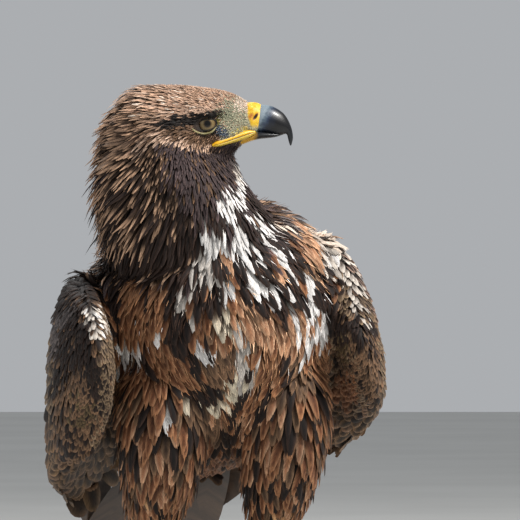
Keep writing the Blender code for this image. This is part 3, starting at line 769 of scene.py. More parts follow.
class Skin:
    """The bird's one skin, as arrays in the bird's frame, and what each point of it knows."""

    def __init__(self, bm):
        bmesh.ops.triangulate(bm, faces=bm.faces)
        bm.verts.ensure_lookup_table()
        self.points = np.array([vertex.co for vertex in bm.verts])
        self.faces = np.array([[vertex.index for vertex in face.verts] for face in bm.faces])
        self.edges = np.array([[vertex.index for vertex in edge.verts] for edge in bm.edges])
        self.links = np.bincount(self.edges.ravel(), minlength=len(self.points))

    def relaxed(self, values, rounds, share=0.5):
        """The values at the points, each drawn towards its neighbours' mean."""
        values = np.array(values, float).reshape(len(self.points), -1)
        first, second = self.edges.T
        for _ in range(rounds):
            for column in range(values.shape[1]):
                row = values[:, column]
                total = np.bincount(first, row[second], len(row)) + np.bincount(second, row[first], len(row))
                values[:, column] = row + share * (total / np.maximum(self.links, 1) - row)
        return values

    def normals(self):
        """The outward direction at each point."""
        a, b, c = (self.points[self.faces[:, k]] for k in range(3))
        flat = np.cross(b - a, c - a)
        total = np.zeros_like(self.points)
        for k in range(3):
            for axis in range(3):
                total[:, axis] += np.bincount(self.faces[:, k], flat[:, axis], len(total))
        return unit(total)

    def settle(self):
        """Readies the skin for feathers, once its shape and its fields are final."""
        self.normal = self.normals()
        self.tree = BVHTree.FromPolygons(self.points.tolist(), self.faces.tolist())
        a, b, c = (self.points[self.faces[:, k]] for k in range(3))
        self.areas = np.linalg.norm(np.cross(b - a, c - a), axis=1) / 2
        self.face_normal = unit(self.normal[self.faces].mean(axis=1))
        self.face_lie = unit(self.lie[self.faces].mean(axis=1))
        self.face_values = {name: value[self.faces].mean(axis=1) for name, value in self.values.items()}

    def under(self, points):
        """The nearest places on the skin, and the faces they are on."""
        found = [self.tree.find_nearest(point) for point in points.tolist()]
        return np.array([f[0] for f in found]), np.array([f[2] for f in found])


def solid_of(name):
    """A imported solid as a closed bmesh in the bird's frame."""
    bm = bmesh.new()
    bm.from_mesh(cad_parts[name].data)
    bmesh.ops.transform(bm, matrix=INTO_BIRD, verts=bm.verts)
    bmesh.ops.remove_doubles(bm, verts=bm.verts, dist=0.01)
    return bm


def draw_skin():
    """One skin over all the flesh, still at the outside of the plumage, with a finer mesh on the face."""
    everything = bmesh.new()
    sources = []
    for name in ["head", *FLESH]:
        part = loft(HEAD, 40, 44, across=(0, 1, 0), facing=(-1, 0, 0)) if name == "head" else solid_of(name)
        corners = [[vertex.index for vertex in face.verts] for face in part.faces]
        sources.append((name, [vertex.co.copy() for vertex in part.verts], corners))
        if name.startswith("wing"):
            every = [*part.verts, *part.edges, *part.faces]
            end = dict(plane_co=WING_SKIN_END, plane_no=BACKWARD)
            bmesh.ops.bisect_plane(part, geom=every, clear_outer=True, **end)
            rim = [edge for edge in part.edges if edge.is_boundary]
            bmesh.ops.triangle_fill(part, use_beauty=True, edges=rim)
            bmesh.ops.recalc_face_normals(part, faces=part.faces)
        grow(part, 0.9)  # so that neighbours meet
        absorb(everything, part)
    bm = melted(everything, SKIN_GRAIN, rounds=3)
    keep_largest(bm)
    lids = [Vector((0, flip * (EYE_SIDE + 8), 0)) for flip in SIDES.values()]
    for reach, face in ((26, 2), (14, math.inf)):

        def finer(vertex):
            """Whether the mesh is finer here: near an eye, or on the face in front of this x."""
            at = vertex.co
            return min((at - EYE - lid).length for lid in lids) < reach or (at.x > face and at.z > 412)

        near = [edge for edge in bm.edges if all(finer(vertex) for vertex in edge.verts)]
        bmesh.ops.subdivide_edges(bm, edges=near, cuts=1, use_grid_fill=True)
    skin = Skin(bm)
    bm.free()
    label_skin(skin, sources)
    return skin


def keep_largest(bm):
    """Drops the crumbs that melting leaves."""
    left, bodies = set(bm.verts), []
    while left:
        found, edge = set(), [left.pop()]
        while edge:
            vertex = edge.pop()
            found.add(vertex)
            near = {e.other_vert(vertex) for e in vertex.link_edges} & left
            left -= near
            edge.extend(near)
        bodies.append(found)
    largest = max(bodies, key=len)
    crumbs = [v for body in bodies if body is not largest for v in body]
    bmesh.ops.delete(bm, geom=crumbs, context="VERTS")


def label_skin(skin, sources):
    """Tells each point of the skin which part of the bird it belongs to."""
    points, faces, owner = [], [], []
    for index, (_, verts, polygons) in enumerate(sources):
        start = len(points)
        points += verts
        faces += [[start + v for v in polygon] for polygon in polygons]
        owner += [index] * len(polygons)
    tree = BVHTree.FromPolygons(points, faces)
    names = [name for name, _, _ in sources]
    nearest = np.array([owner[tree.find_nearest(point)[2]] for point in skin.points.tolist()])
    skin.part = {name: nearest == k for k, name in enumerate(names)}


def around_neck(points, stir=0.0):
    """How far round the neck each point is from the throat, in degrees; stir is added to it."""
    x, y, z = points.T
    middle = np.interp(z, [312, 352, 391, 416, 440], [-10, -20, -40, -52, -49])
    angle = np.degrees(np.arctan2(y + 38, x - middle))  # the neck's middle is at y = -38
    throat = -38
    return np.abs((angle - throat + 180) % 360 - 180) + stir


def dress(skin):
    """Gives every point of the skin the lie, length, width, spacing, depth and lift of its feathers.
    The sizes are in millimetres, and the lift in degrees."""
    x, y, z = skin.points.T
    normal = unit(skin.relaxed(skin.normals(), 4))
    count = len(x)
    lie = np.zeros((count, 3))
    size = {name: np.zeros(count) for name in ("length", "width", "space", "depth", "lift")}
    upright = np.array(UPRIGHT.to_3x3())
    stops = np.interp

    def sloping(slope):
        """Ways back and down the leant body; slope is the share that goes back."""
        return np.stack([np.zeros(count), slope, -np.sqrt(1 - slope**2)], axis=1) @ LEAN_WAYS.T

    def put(mask, way, **values):
        """Sets the lie and the values of the feathers where the mask is."""
        lie[mask] = np.broadcast_to(way, (count, 3))[mask]
        for name, value in values.items():
            size[name][mask] = np.broadcast_to(value, count)[mask]

    # Head: back from the bill, level on the crown and falling towards the cheek and chin.
    behind = 24 - x
    lids = 1 - 0.5 * np.exp(-(((x - EYE.x - 2) / 15) ** 2) - ((z - EYE.z + 2) / 11) ** 2)
    far = [0, 12, 30, 60, 84, 120]
    chin = ease(427, 421, z) * ease(-4, 8, x) * ease(14, 9, np.abs(y - HEAD_Y))
    fall = np.radians(stops(z, [405, 415, 425, 435, 445, 462], [60, 46, 30, 14, 7, 0]))
    put(
        skin.part["head"],
        np.stack([-np.cos(fall), np.zeros(count), -np.sin(fall)], axis=1),
        length=stops(behind, far, [2.6, 3.4, 5.6, 9.0, 18, 27]) * lids + 6 * chin,
        width=stops(behind, far, [0.6, 0.8, 1.1, 1.5, 2.3, 3.0]) * (0.3 + 0.7 * lids),
        space=stops(behind, far, [0.5, 0.6, 0.8, 1.05, 1.65, 2.2]) * (0.3 + 0.7 * lids),
        depth=stops(behind, far, [0.5, 0.8, 1.5, 2.8, 6.0, 9.0]),
        lift=stops(behind, far, [2, 3, 3, 4, 13, 25]) + 16 * chin,
    )

    # Neck: pointed hackles all round except at the throat, which faces where the bill points.
    off_throat = around_neck(skin.points)
    hackled = ease(50, 74, off_throat) * ease(300, 330, z)
    skin.hackled = hackled
    fall = np.radians(stops(z, [312, 345, 360, 393, 423, 438, 455], [82, 72, 66, 50, 36, 24, 10]))
    back = np.stack([-np.cos(fall), ease(-20, 30, y) * 0.3, -np.sin(fall)], axis=1)
    outwards = stops(x, [-30, 0, 20, 45], [-0.12, 0.1, 0.3, 0.8])
    down = np.stack([outwards, np.zeros(count), -np.ones(count)], axis=1)
    nape, plain = [312, 350, 400, 430], 1 - hackled
    put(
        skin.part["neck"],
        unit(back * hackled[:, None] + down * plain[:, None]),
        length=hackled * stops(z, nape, [34, 38, 34, 28])
        + plain * stops(z, [312, 350, 390, 415, 425], [32, 24, 16, 9, 6]),
        width=hackled * 3.2 + plain * stops(z, [312, 350, 390, 415, 425], [7.5, 4.2, 2.6, 1.9, 1.5]),
        space=hackled * 2.35 + plain * stops(z, [312, 350, 390, 415, 425], [3.8, 2.5, 1.8, 1.4, 1.2]),
        depth=hackled * 10 + plain * stops(z, [312, 350, 390, 425], [9, 6, 4, 2]),
        lift=hackled * stops(z, nape, [9, 15, 20, 23]) + plain * 4,
    )

    # Trunk: down the breast, fanning out above and drawn in to the middle of the belly, and back to the tail.
    slope = stops(y, [-36, 12, 60, 130, 236], [0.1, 0.5, 0.8, 0.87, 0.92])
    way = sloping(slope)
    front = ease(0.0, 0.6, -normal[:, 1])
    fan = ease(255, 300, z) * 0.5 * np.clip((x + 5) / 30, -0.35, 1)
    fan -= ease(290, 235, z) * 0.8 * np.clip((x - 18) / 55, -1, 1)
    way[:, 0] += front * fan
    back = ease(0.1, 0.7, normal[:, 2] + normal[:, 1]) * ease(-10, 40, y)
    # Shorter at the vent and at the root of the tail.
    short = 1 - 0.42 * (ease(60, 130, y) * (1 - back) + ease(140, 175, y) * back)
    put(
        skin.part["trunk"],
        way,
        length=(33 * (1 - back) + 44 * back) * short,
        width=(8.4 * (1 - back) + 19 * back) * short,
        space=(4.3 * (1 - back) + 8.2 * back) * short,
        depth=8.5 * (1 - back) + 6 * back,
        lift=4 * (1 - back) + 2 * back,
    )

    # Legs: long soft feathers down the thigh, short ones down to the toes.
    thigh = stops(z, [74, 110, 150, 220], [15, 24, 32, 34])
    shin, arm = [14, 40, 90], [-70, -25, 20, 90, 190]
    own = y - TURN_SLOPE * x  # how far back on the turned body
    for side, outward in SIDES.items():
        put(
            skin.part[f"thigh_{side}"],
            upright @ np.array([0, 0.3, -0.95]),
            length=thigh,
            width=thigh * 0.25,
            space=thigh * 0.14,
            depth=stops(z, [74, 110, 150], [2.5, 5, 8]),
            lift=5,
        )
        put(
            skin.part[f"shank_{side}"],
            upright @ np.array([0, -0.12, -1]),
            length=stops(z, shin, [8, 11, 15]),
            width=stops(z, shin, [1.8, 2.2, 3.0]),
            space=stops(z, shin, [1.3, 1.6, 2.1]),
            depth=stops(z, shin, [1.8, 2.4, 2.6]),
            lift=7,
        )
        # Wings: small feathers on the leading edge, growing row by row towards the quills.
        edge = ease(0.1, 0.65, -normal[:, 1])
        slope = stops(own, [-60, 0, 60, 200], [0.55, 0.8, 0.87, 0.9]) * (1 - 0.85 * edge)
        slope += (0.99 - slope) * ease(-0.15, -0.65, normal[:, 2])
        way = sloping(slope)
        inner = ease(0.2, 0.8, -outward * normal[:, 0])
        way[:, 0] += outward * edge * (0.3 * ease(265, 320, z) * ease(0.6, 0.1, normal[:, 2]) - 0.08)
        small = (1 - 0.3 * inner * edge) * (1 - 0.28 * ease(-0.15, -0.65, normal[:, 2]))
        small *= 1 - 0.35 * ease(0.25, 0.75, normal[:, 2]) * ease(70, 20, own)
        put(
            skin.part[f"wing_{side}"],
            way,
            length=stops(own, arm, [13, 16, 27, 42, 58]) * small,
            width=stops(own, arm, [4.2, 5.6, 10, 16, 22]) * small,
            space=stops(own, arm, [2.3, 3.0, 5.5, 9.0, 12.5]) * small,
            depth=stops(own, [-70, 0, 100, 200], [3.0, 4.5, 4.5, 4.0]),
            lift=3,
        )

    names = list(size)
    field = skin.relaxed(np.column_stack([unit(lie), *[size[n] for n in names]]), 22)
    skin.lie = field[:, :3]
    skin.values = {name: field[:, 3 + k] for k, name in enumerate(names)}
    skin.back = back


def sink(skin):
    """Draws the skin in by the plumage's depth, and further under ruffled feathers."""
    rounds = 8
    ruffled = skin.values["length"] * np.sin(np.radians((skin.values["lift"] - 9).clip(0)))
    deep = skin.values["depth"] + 0.8 * ruffled
    for _ in range(rounds):
        normal = unit(skin.relaxed(skin.normals(), 2))
        skin.points = skin.points - normal * (deep[:, None] / rounds)
        calm = skin.relaxed(skin.points, 1, 0.4)
        keep = ease(1.5, 4.0, skin.values["depth"])[:, None]
        skin.points = skin.points + (calm - skin.points) * keep


def shape_face(skin):
    """Eye sockets, brows, lores and cheeks."""
    for flip in SIDES.values():
        centre = np.array(EYE) + np.array([0, flip * EYE_SIDE, 0])

        def thumb(x, y, z, reach, move):
            """Moves the skin near a point; y and the move's y are outwards from the head's middle plane."""
            share = np.linalg.norm(skin.points - np.array([x, HEAD_Y + flip * y, z]), axis=1) / reach
            skin.points += np.exp(-2 * share * share)[:, None] * np.array([move[0], flip * move[1], move[2]])

        for x, push_out in ((-20, 3.2), (-13, 5.4), (-6, 6.6), (1, 6.0), (6, 3.2)):
            thumb(x, 28, 447.4 - 0.03 * abs(x), 5.5, (0, push_out, -0.9))  # the brow's ridge
        thumb(13, 22, 437, 9, (0, -2.2, 0))  # lore
        thumb(-25, 31, 438.5, 7, (0, -1.8, 0))  # behind the eye
        thumb(-22, 33, 424, 14, (0, 2.0, 0))  # cheek
        thumb(-4, 24, 421, 6, (0, -1.6, 0))  # above the gape's corner
        off = skin.points - centre
        share = np.hypot((off[:, 0] - 0.1) / 8.7, (off[:, 2] + 0.4 - 0.1 * off[:, 0]) / 5.6)  # 1 at the lids
        facing = off[:, 1] * flip > 0
        reach = np.linalg.norm(off, axis=1)
        # Inside the lids the skin goes down behind the eyeball, just outside them it lies close over it.
        inside = facing & (share < 1.0) & (reach < 20)
        skin.points[inside] = centre + unit(off[inside]) * (EYE_RADIUS - 2.2)
        over = facing & (share >= 1.0) & (reach < EYE_RADIUS + 0.8)
        skin.points[over] = centre + unit(off[over]) * (EYE_RADIUS + 0.8)


# ------------------------------------------------------------------------------------ markings


def blot(x, z, at_x, at_z, length, width, lean):
    """An oval spot with soft edges, seen from the front; lean turns its length from upright, in degrees."""
    turn = math.radians(lean)
    along = (x - at_x) * math.sin(turn) + (z - at_z) * math.cos(turn)
    aside = (x - at_x) * math.cos(turn) - (z - at_z) * math.sin(turn)
    spread = (along / length) ** 2 + (aside / width) ** 2
    return np.exp(-(spread**1.5) * 0.9)


def sorts_at(spots, normals, part, chance):
    """Which sort of feather grows at each spot. part is a dictionary of masks, chance a number per spot."""
    x, y, z = spots.T
    weight = np.full((len(x), len(SORT_NAMES)), 1e-6)

    def add(mask, **amounts):
        """Makes sorts likelier where the mask is."""
        for sort, amount in amounts.items():
            weight[:, SORT_NAMES.index(sort)] += np.where(mask, amount, 0)

    own = y - TURN_SLOPE * x  # how far back on the turned body
    front = ease(-0.05, 0.4, -normals[:, 1]) * ease(70, 20, own)
    head, neck, trunk = part["head"], part["neck"], part["trunk"]
    thigh = part["thigh_left"] | part["thigh_right"]
    shank = part["shank_left"] | part["shank_right"]
    wing = part["wing_left"] | part["wing_right"]
    sunny = ease(-40, 50, x)

    # Trunk and legs.
    add(trunk, dark=0.34 * front + 0.05, rufous=0.42 * front, umber=0.16 * front)
    # More tan on the +x side, where the key light falls: painted sunlight.
    add(trunk, tan=(0.04 + 0.22 * sunny) * front)
    rear, low = 1 - front, ease(200, 150, z) * ease(190, 130, y)
    add(trunk, mantle=1.2 * rear * (1 - low), rufous=0.7 * rear * low, umber=0.5 * rear * low)
    add(thigh, rufous=0.5, dark=0.25, umber=0.3, tan=0.15, boot=0.5 * ease(130, 90, z))
    add(shank, boot=0.8, tan=0.3)

    # Neck and breast.
    hackled = ease(46, 66, around_neck(spots, 8 * (mottle(spots, 16, 5) - 0.5))) * ease(296, 318, z)
    hackled = hackled * np.where(trunk, ease(30, 0, y), 1)
    add(neck | (trunk & (z > 300)), hackle=1.7 * hackled, dark=0.9 * hackled * ease(398, 375, z))
    add(neck, throat=1.0 - hackled, umber=0.22 * (1 - hackled), dark=0.5 * (1 - hackled) * ease(370, 330, z))
    add(trunk, throat=0.5 * (1 - hackled) * ease(300, 345, z) * front)

    # Wings.
    outward = np.where(part["wing_left"], 1, -1)
    inner = ease(0.1, 0.6, -outward * normals[:, 0]) * front
    add(wing, umber=0.5 * front, dark=0.3 * front, scaly=1.5 * inner, covert=0.8 * (1 - front))
    add(wing, umber=0.25 * (1 - front), mantle=0.7 * ease(0.2, 0.7, normals[:, 2]))

    # Head.
    top = ease(440, 448, z)
    add(head, crown=1.1 * top, wheat=0.35 * top, umber=0.3 * top, cream=0.08 * top)
    side = ease(449, 441, z) * ease(396, 408, z)
    ear = ease(-24, -34, x) * ease(430, 422, z)
    add(head, cheek=1.0 * side, crown=0.4 * side, umber=0.35 * side, wheat=0.9 * side * ear)
    behind = ease(-62, -84, x + 6 * (mottle(spots, 12, 9) - 0.5))
    add(head, hackle=4.0 * behind, crown=1.2 * behind * ease(430, 455, z), throat=1.5 * ease(404, 398, z))

    # The markings that stand out.
    ahead = ease(0.0, 0.3, -normals[:, 1]) * ease(60, 30, y)
    for table, strength, mask in (
        (FACE_MARKINGS, 26, head),
        (MARKINGS, 20 * ahead, trunk | neck | thigh),
        (WING_MARKINGS, 12 * ease(0.6, 0.2, normals[:, 1]) * ease(70, 35, own), wing),
    ):
        for sort, marks in table.items():
            column = weight[:, SORT_NAMES.index(sort)]
            for at_x, at_z, wide, tall, lean in marks:
                column += blot(x, z, at_x, at_z, tall, wide, lean) * strength * mask

    share = np.cumsum(weight, axis=1) / weight.sum(axis=1, keepdims=True)
    return (chance[:, None] > share).sum(axis=1).clip(0, len(SORT_NAMES) - 1)


def paint_skin(skin, made):
    """The skin takes the colours of the feathers that grow on it, darkened by their roots' colour: partly
    their dark bases, partly painted shade deep in the plumage.
    """
    rng = np.random.default_rng(3)
    sort = sorts_at(skin.points, skin.normal, skin.part, rng.random(len(skin.points)))
    # Four tenths of the root colour: dark feather bases, and painted shade under the coat.
    colour = SORT_COLOURS[sort, 2] * 0.6 + SORT_COLOURS[sort, 0] * 0.4
    colour = skin.relaxed(colour, 2)
    x, _, z = skin.points.T
    for at_x, at_z, wide, tall, code, amount in (
        (14, 438, 13, 12, "#83846c", 0.7),
        (1.6, 440, 3.2, 5.0, "#8f8628", 0.95),
        (3.5, 431, 3.6, 5.6, "#2b3348", 0.9),
        (21, 433, 6.0, 4.5, "#a3a078", 0.6),
        # Dark round the eye and below it: painted shade in the eye's socket and under the brow.
        (-9, 438, 16, 9, "#17120f", 0.5),
        (-9.5, 432.6, 9.5, 4.6, "#0f0b09", 0.9),
    ):
        spot = (amount * blot(x, z, at_x, at_z, tall, wide, 0) * skin.part["head"])[:, None]
        colour = colour * (1 - spot) + np.array(linear(code)) * spot
    write_values(made.data, "tint", colour)


# ------------------------------------------------------------------------------------ feathers


class Pattern:
    """The shape of one sort of vane: rows from root to tip, and fingers of barbs that part at the tip.
    Roundness, fray, camber and ridge are shares of its length or width."""

    def __init__(self, places, widths, fingers, roundness, fray, camber, ridge):
        self.places = np.array(places, float)
        self.widths = np.array(widths, float)
        self.fingers, self.roundness, self.fray = fingers, roundness, fray
        self.camber, self.ridge = camber, ridge
        rows, columns = len(places), 2 * fingers + 1
        self.rows, self.columns = rows, columns
        self.across = np.arange(columns) / fingers - 1
        grid = np.arange(rows * columns).reshape(rows, columns)
        tips = rows * columns + np.arange(fingers)
        faces = []
        for r in range(rows - 1):
            for c in range(columns - 1):
                a, b, d, e = grid[r, c], grid[r, c + 1], grid[r + 1, c + 1], grid[r + 1, c]
                faces += [(a, b, d), (a, d, e)]
        last = grid[-1]
        for k in range(fingers):
            faces += [(last[2 * k], last[2 * k + 1], tips[k]), (last[2 * k + 1], last[2 * k + 2], tips[k])]
            faces += [(last[2 * k + 2], last[2 * k], tips[k])]
        for r in range(rows - 2):
            a, b, d, e = grid[r, -1], grid[r, 0], grid[r + 1, 0], grid[r + 1, -1]
            faces += [(a, b, d), (a, d, e)]
        ring = [grid[-2, -1], grid[-2, 0], *last[::2]]
        faces += [(ring[0], ring[k], ring[k + 1]) for k in range(1, len(ring) - 1)]
        faces += [(grid[0, 0], grid[0, c + 1], grid[0, c]) for c in range(1, columns - 1)]
        self.faces = np.array(faces)
        self.size = rows * columns + fingers
        rim = [(grid[r, s], grid[r + 1, s]) for r in range(rows - 1) for s in (0, -1)]
        rim += [(last[2 * k + s], tips[k]) for k in range(fingers) for s in (0, 2)]
        self.rim = np.array([min(a, b) * self.size + max(a, b) for a, b in rim])


def joined_mesh(name, points, faces, finish):
    """A mesh of triangles from arrays in the bird's frame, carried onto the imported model."""
    mesh = bpy.data.meshes.new(name)
    mesh.vertices.add(len(points))
    mesh.vertices.foreach_set("co", (points * MM + np.array(HOME)).astype(np.float32).ravel())
    mesh.loops.add(faces.size)
    mesh.loops.foreach_set("vertex_index", faces.astype(np.int32).ravel())
    mesh.polygons.add(len(faces))
    mesh.polygons.foreach_set("loop_start", np.arange(0, faces.size, 3, dtype=np.int32))
    mesh.update(calc_edges=True)
    mesh.shade_smooth()
    mesh.materials.append(finish)
    return mesh


# Pointed hackles, lance-shaped body feathers, fine short ones, tufts, thin wisps and neat rounded coverts.
HACKLE = Pattern([0, 0.18, 0.4, 0.62, 0.8, 0.92], [0.4, 0.8, 1.0, 0.88, 0.56, 0.25], 1, 0, 0.05, 0.14, 0.09)
LANCE = Pattern([0, 0.15, 0.35, 0.56, 0.73, 0.87], [0.35, 0.72, 1, 0.95, 0.7, 0.4], 3, 0.07, 0.05, 0.12, 0.04)
FINE = Pattern([0, 0.3, 0.65], [0.6, 1.0, 0.8], 1, 0.0, 0.1, 0.12, 0.03)
TUFT = Pattern([0, 0.25, 0.55, 0.8], [0.5, 1.0, 0.9, 0.5], 1, 0.0, 0.08, 0.11, 0.04)
WISP = Pattern([0, 0.35, 0.75], [0.8, 1.0, 0.6], 1, 0.0, 0.1, 0.1, 0.1)
COVERT = Pattern([0, 0.15, 0.4, 0.66, 0.84, 0.94], [0.45, 0.8, 1, 0.98, 0.8, 0.48], 3, 0.03, 0.015, 0.1, 0.02)
# Flight feathers of the wings, and of the tail.
SHAFT = [0, 0.06, 0.16, 0.28, 0.4, 0.52, 0.64, 0.77, 0.88]
BROAD = [0.25, 0.5, 0.8, 0.95, 1, 1, 1]
QUILL = Pattern([*SHAFT, 0.95, 0.984], [*BROAD, 0.98, 0.93, 0.78, 0.5], 3, 0.004, 0.003, 0.07, 0.012)
STEER = Pattern([*SHAFT, 0.955, 0.987], [*BROAD, 1, 0.97, 0.82, 0.5], 3, 0.006, 0.001, 0.05, 0.01)


def shaft_steps(spine):
    """The step from each place on the shafts to the next; the last step counts twice."""
    steps = np.diff(spine, axis=1)
    return np.concatenate([steps, steps[:, -1:]], axis=1)


def vane_mesh(name, pattern, spine, heading, up, width, length, paint, patch, chance, finish, seed):
    """Joins the feathers of one coat piece. Arrays hold a row per feather; spine, heading and up hold one
    per place on its shaft as well. Paint holds five colours, the edge's share and the tip's start."""
    rng = np.random.default_rng(seed)
    count, rows, columns = len(spine), pattern.rows, pattern.columns
    across = unit(np.cross(heading, up))
    u = pattern.across
    reach = width[:, None, None] / 2 * pattern.widths[None, :, None] * u[None, None, :]
    curve = -pattern.camber * u**2 + pattern.ridge * (np.arange(columns) % 2)
    arch = width[:, None, None] * curve[None, None, :] * np.minimum(1, pattern.widths * 1.2)[None, :, None]
    grid = spine[:, :, None] + across[:, :, None] * reach[..., None] + up[:, :, None] * arch[..., None]
    middles = u[1::2]
    fray = pattern.fray * rng.normal(size=(count, pattern.fingers)).clip(-1.6, 1.6)
    far = 1 - pattern.roundness * np.abs(middles) ** 1.6 + fray - pattern.fray
    out = (far - pattern.places[-1]) * length[:, None]
    slip = middles * pattern.widths[-1] * 0.8 + rng.normal(size=(count, pattern.fingers)) * 0.05
    tips = (
        spine[:, -1][:, None]
        + heading[:, -1][:, None] * out[..., None]
        + across[:, -1][:, None] * (slip * width[:, None] / 2)[..., None]
        - up[:, -1][:, None] * (pattern.camber * middles**2 * width[:, None] * 1.3)[..., None]
    )
    points = np.concatenate([grid.reshape(count, -1, 3), tips], axis=1)
    along = np.concatenate([np.repeat(pattern.places, columns)[None].repeat(count, 0), far], axis=1)
    aside = np.concatenate([np.tile(u, rows), middles])[None].repeat(count, 0)

    # From the root to the vane, then the dark middle, the paler edges and the tip.
    root, middle, body, edge, tip, rim_share, tip_start = paint
    colour = body[:, None] + (middle - body)[:, None] * ease(0.5, 0.1, np.abs(aside))[..., None]
    colour = colour + (root[:, None] - colour) * ease(0.5, 0.05, along)[..., None]
    rim = (rim_share[:, None] * ease(0.4, 1.0, np.abs(aside)) * ease(0.25, 0.6, along))[..., None]
    colour = colour + (edge[:, None] - colour) * rim
    end = ease(tip_start[:, None] - 0.08, tip_start[:, None] + 0.16, along)[..., None]
    colour = colour + (tip[:, None] - colour) * end

    faces = (pattern.faces[None] + (np.arange(count) * pattern.size)[:, None, None]).reshape(-1, 3)
    mesh = joined_mesh(name, points.reshape(-1, 3), faces, finish)
    pairs = np.zeros(len(mesh.edges) * 2, np.int32)
    mesh.edges.foreach_get("vertices", pairs)
    pairs = pairs.reshape(-1, 2) % pattern.size
    key = pairs.min(axis=1) * pattern.size + pairs.max(axis=1)
    sharp = mesh.attributes.new("sharp_edge", "BOOLEAN", "EDGE")
    sharp.data.foreach_set("value", np.isin(key, pattern.rim))

    write_values(mesh, "tint", colour.clip(0, 1).reshape(-1, 3))
    write_values(mesh, "chance", np.repeat(chance, pattern.size))
    corner = faces.ravel()
    vane = np.stack([aside * width[:, None] / 2, along * length[:, None]], axis=2)
    spread = np.stack([aside * 0.0015, (along - 0.5) * 0.003], axis=2) + patch[:, None]
    for label, values in (("vane", vane), ("OFBake", spread.clip(0.0005, 0.9995))):
        layer = mesh.uv_layers.new(name=label)
        layer.data.foreach_set("uv", values.reshape(-1, 2)[corner].astype(np.float32).ravel())
    made = placed(name, mesh)
    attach(made, "root")
    print(name, count, "feathers,", len(mesh.polygons), "faces")
    return made


def scatter(skin, chosen, seed, crowd=1.0, stretch=1.5):
    """Roots spread evenly over the chosen faces, closer across the lie than along it."""
    rng = np.random.default_rng(seed)
    faces = np.flatnonzero(chosen)
    space = skin.face_values["space"][faces] / crowd
    hoped = skin.areas[faces] / (space**2 * stretch) * 3.2
    picks = np.repeat(faces, rng.poisson(hoped))
    rng.shuffle(picks)
    a, b = rng.random((2, len(picks), 1))
    fold = a + b > 1
    a, b = np.where(fold, 1 - a, a), np.where(fold, 1 - b, b)
    corners = skin.points[skin.faces[picks]]
    spots = corners[:, 0] * (1 - a - b) + corners[:, 1] * a + corners[:, 2] * b
    gap = skin.face_values["space"][picks] / crowd
    lies = skin.face_lie[picks]
    cell = float(gap.max()) * stretch
    shelf, kept = {}, []
    keys = np.floor(spots / cell).astype(int).tolist()
    places, ways, gaps = spots.tolist(), lies.tolist(), gap.tolist()
    squeeze = 1 - 1 / stretch**2
    around = [(i, j, k) for i in (-1, 0, 1) for j in (-1, 0, 1) for k in (-1, 0, 1)]

    def crowded(key, spot, way, room):
        """Whether a kept root is closer than this one's room."""
        for i, j, k in around:
            for x, y, z in shelf.get((key[0] + i, key[1] + j, key[2] + k), ()):
                dx, dy, dz = x - spot[0], y - spot[1], z - spot[2]
                along = dx * way[0] + dy * way[1] + dz * way[2]
                if dx * dx + dy * dy + dz * dz - squeeze * along * along < room * room:
                    return True
        return False

    for index, (key, spot, way, room) in enumerate(zip(keys, places, ways, gaps)):
        if not crowded(key, spot, way, room):
            shelf.setdefault(tuple(key), []).append(spot)
            kept.append(index)
    return spots[kept], picks[kept]


def along_skin(skin, spots, up, heading, length, pattern, straight):
    """Shafts from their roots along the skin: the places on it, and the way up at each place."""
    ground, ways, ups = [spots], [heading], [up]
    for k in range(1, pattern.rows):
        step = (length * (pattern.places[k] - pattern.places[k - 1]))[:, None]
        on = ground[-1] + ways[-1] * step
        if straight:
            ground.append(on)
            ups.append(up)
            ways.append(heading)
            continue
        under, touched = skin.under(on)
        normal = skin.face_normal[touched]
        lie = skin.face_lie[touched]
        # Where the skin turns away from under it, a feather goes straight on, and sooner at the rear.
        off = (dot(normal, ups[-1]) < 0.35) | ((dot(normal, up) < 0.5) & (spots[:, 1:2] > 60))
        under = np.where(off, on, under)
        normal = np.where(off, ups[-1], normal)
        lie = np.where(off, ways[-1], lie)
        turned = unit(ways[-1] + 0.16 * lie)
        ground.append(under)
        ups.append(unit(ups[-1] + 2 * normal))
        ways.append(unit(turned - normal * dot(turned, normal)))
    return np.stack(ground, 1), np.stack(ups, 1)


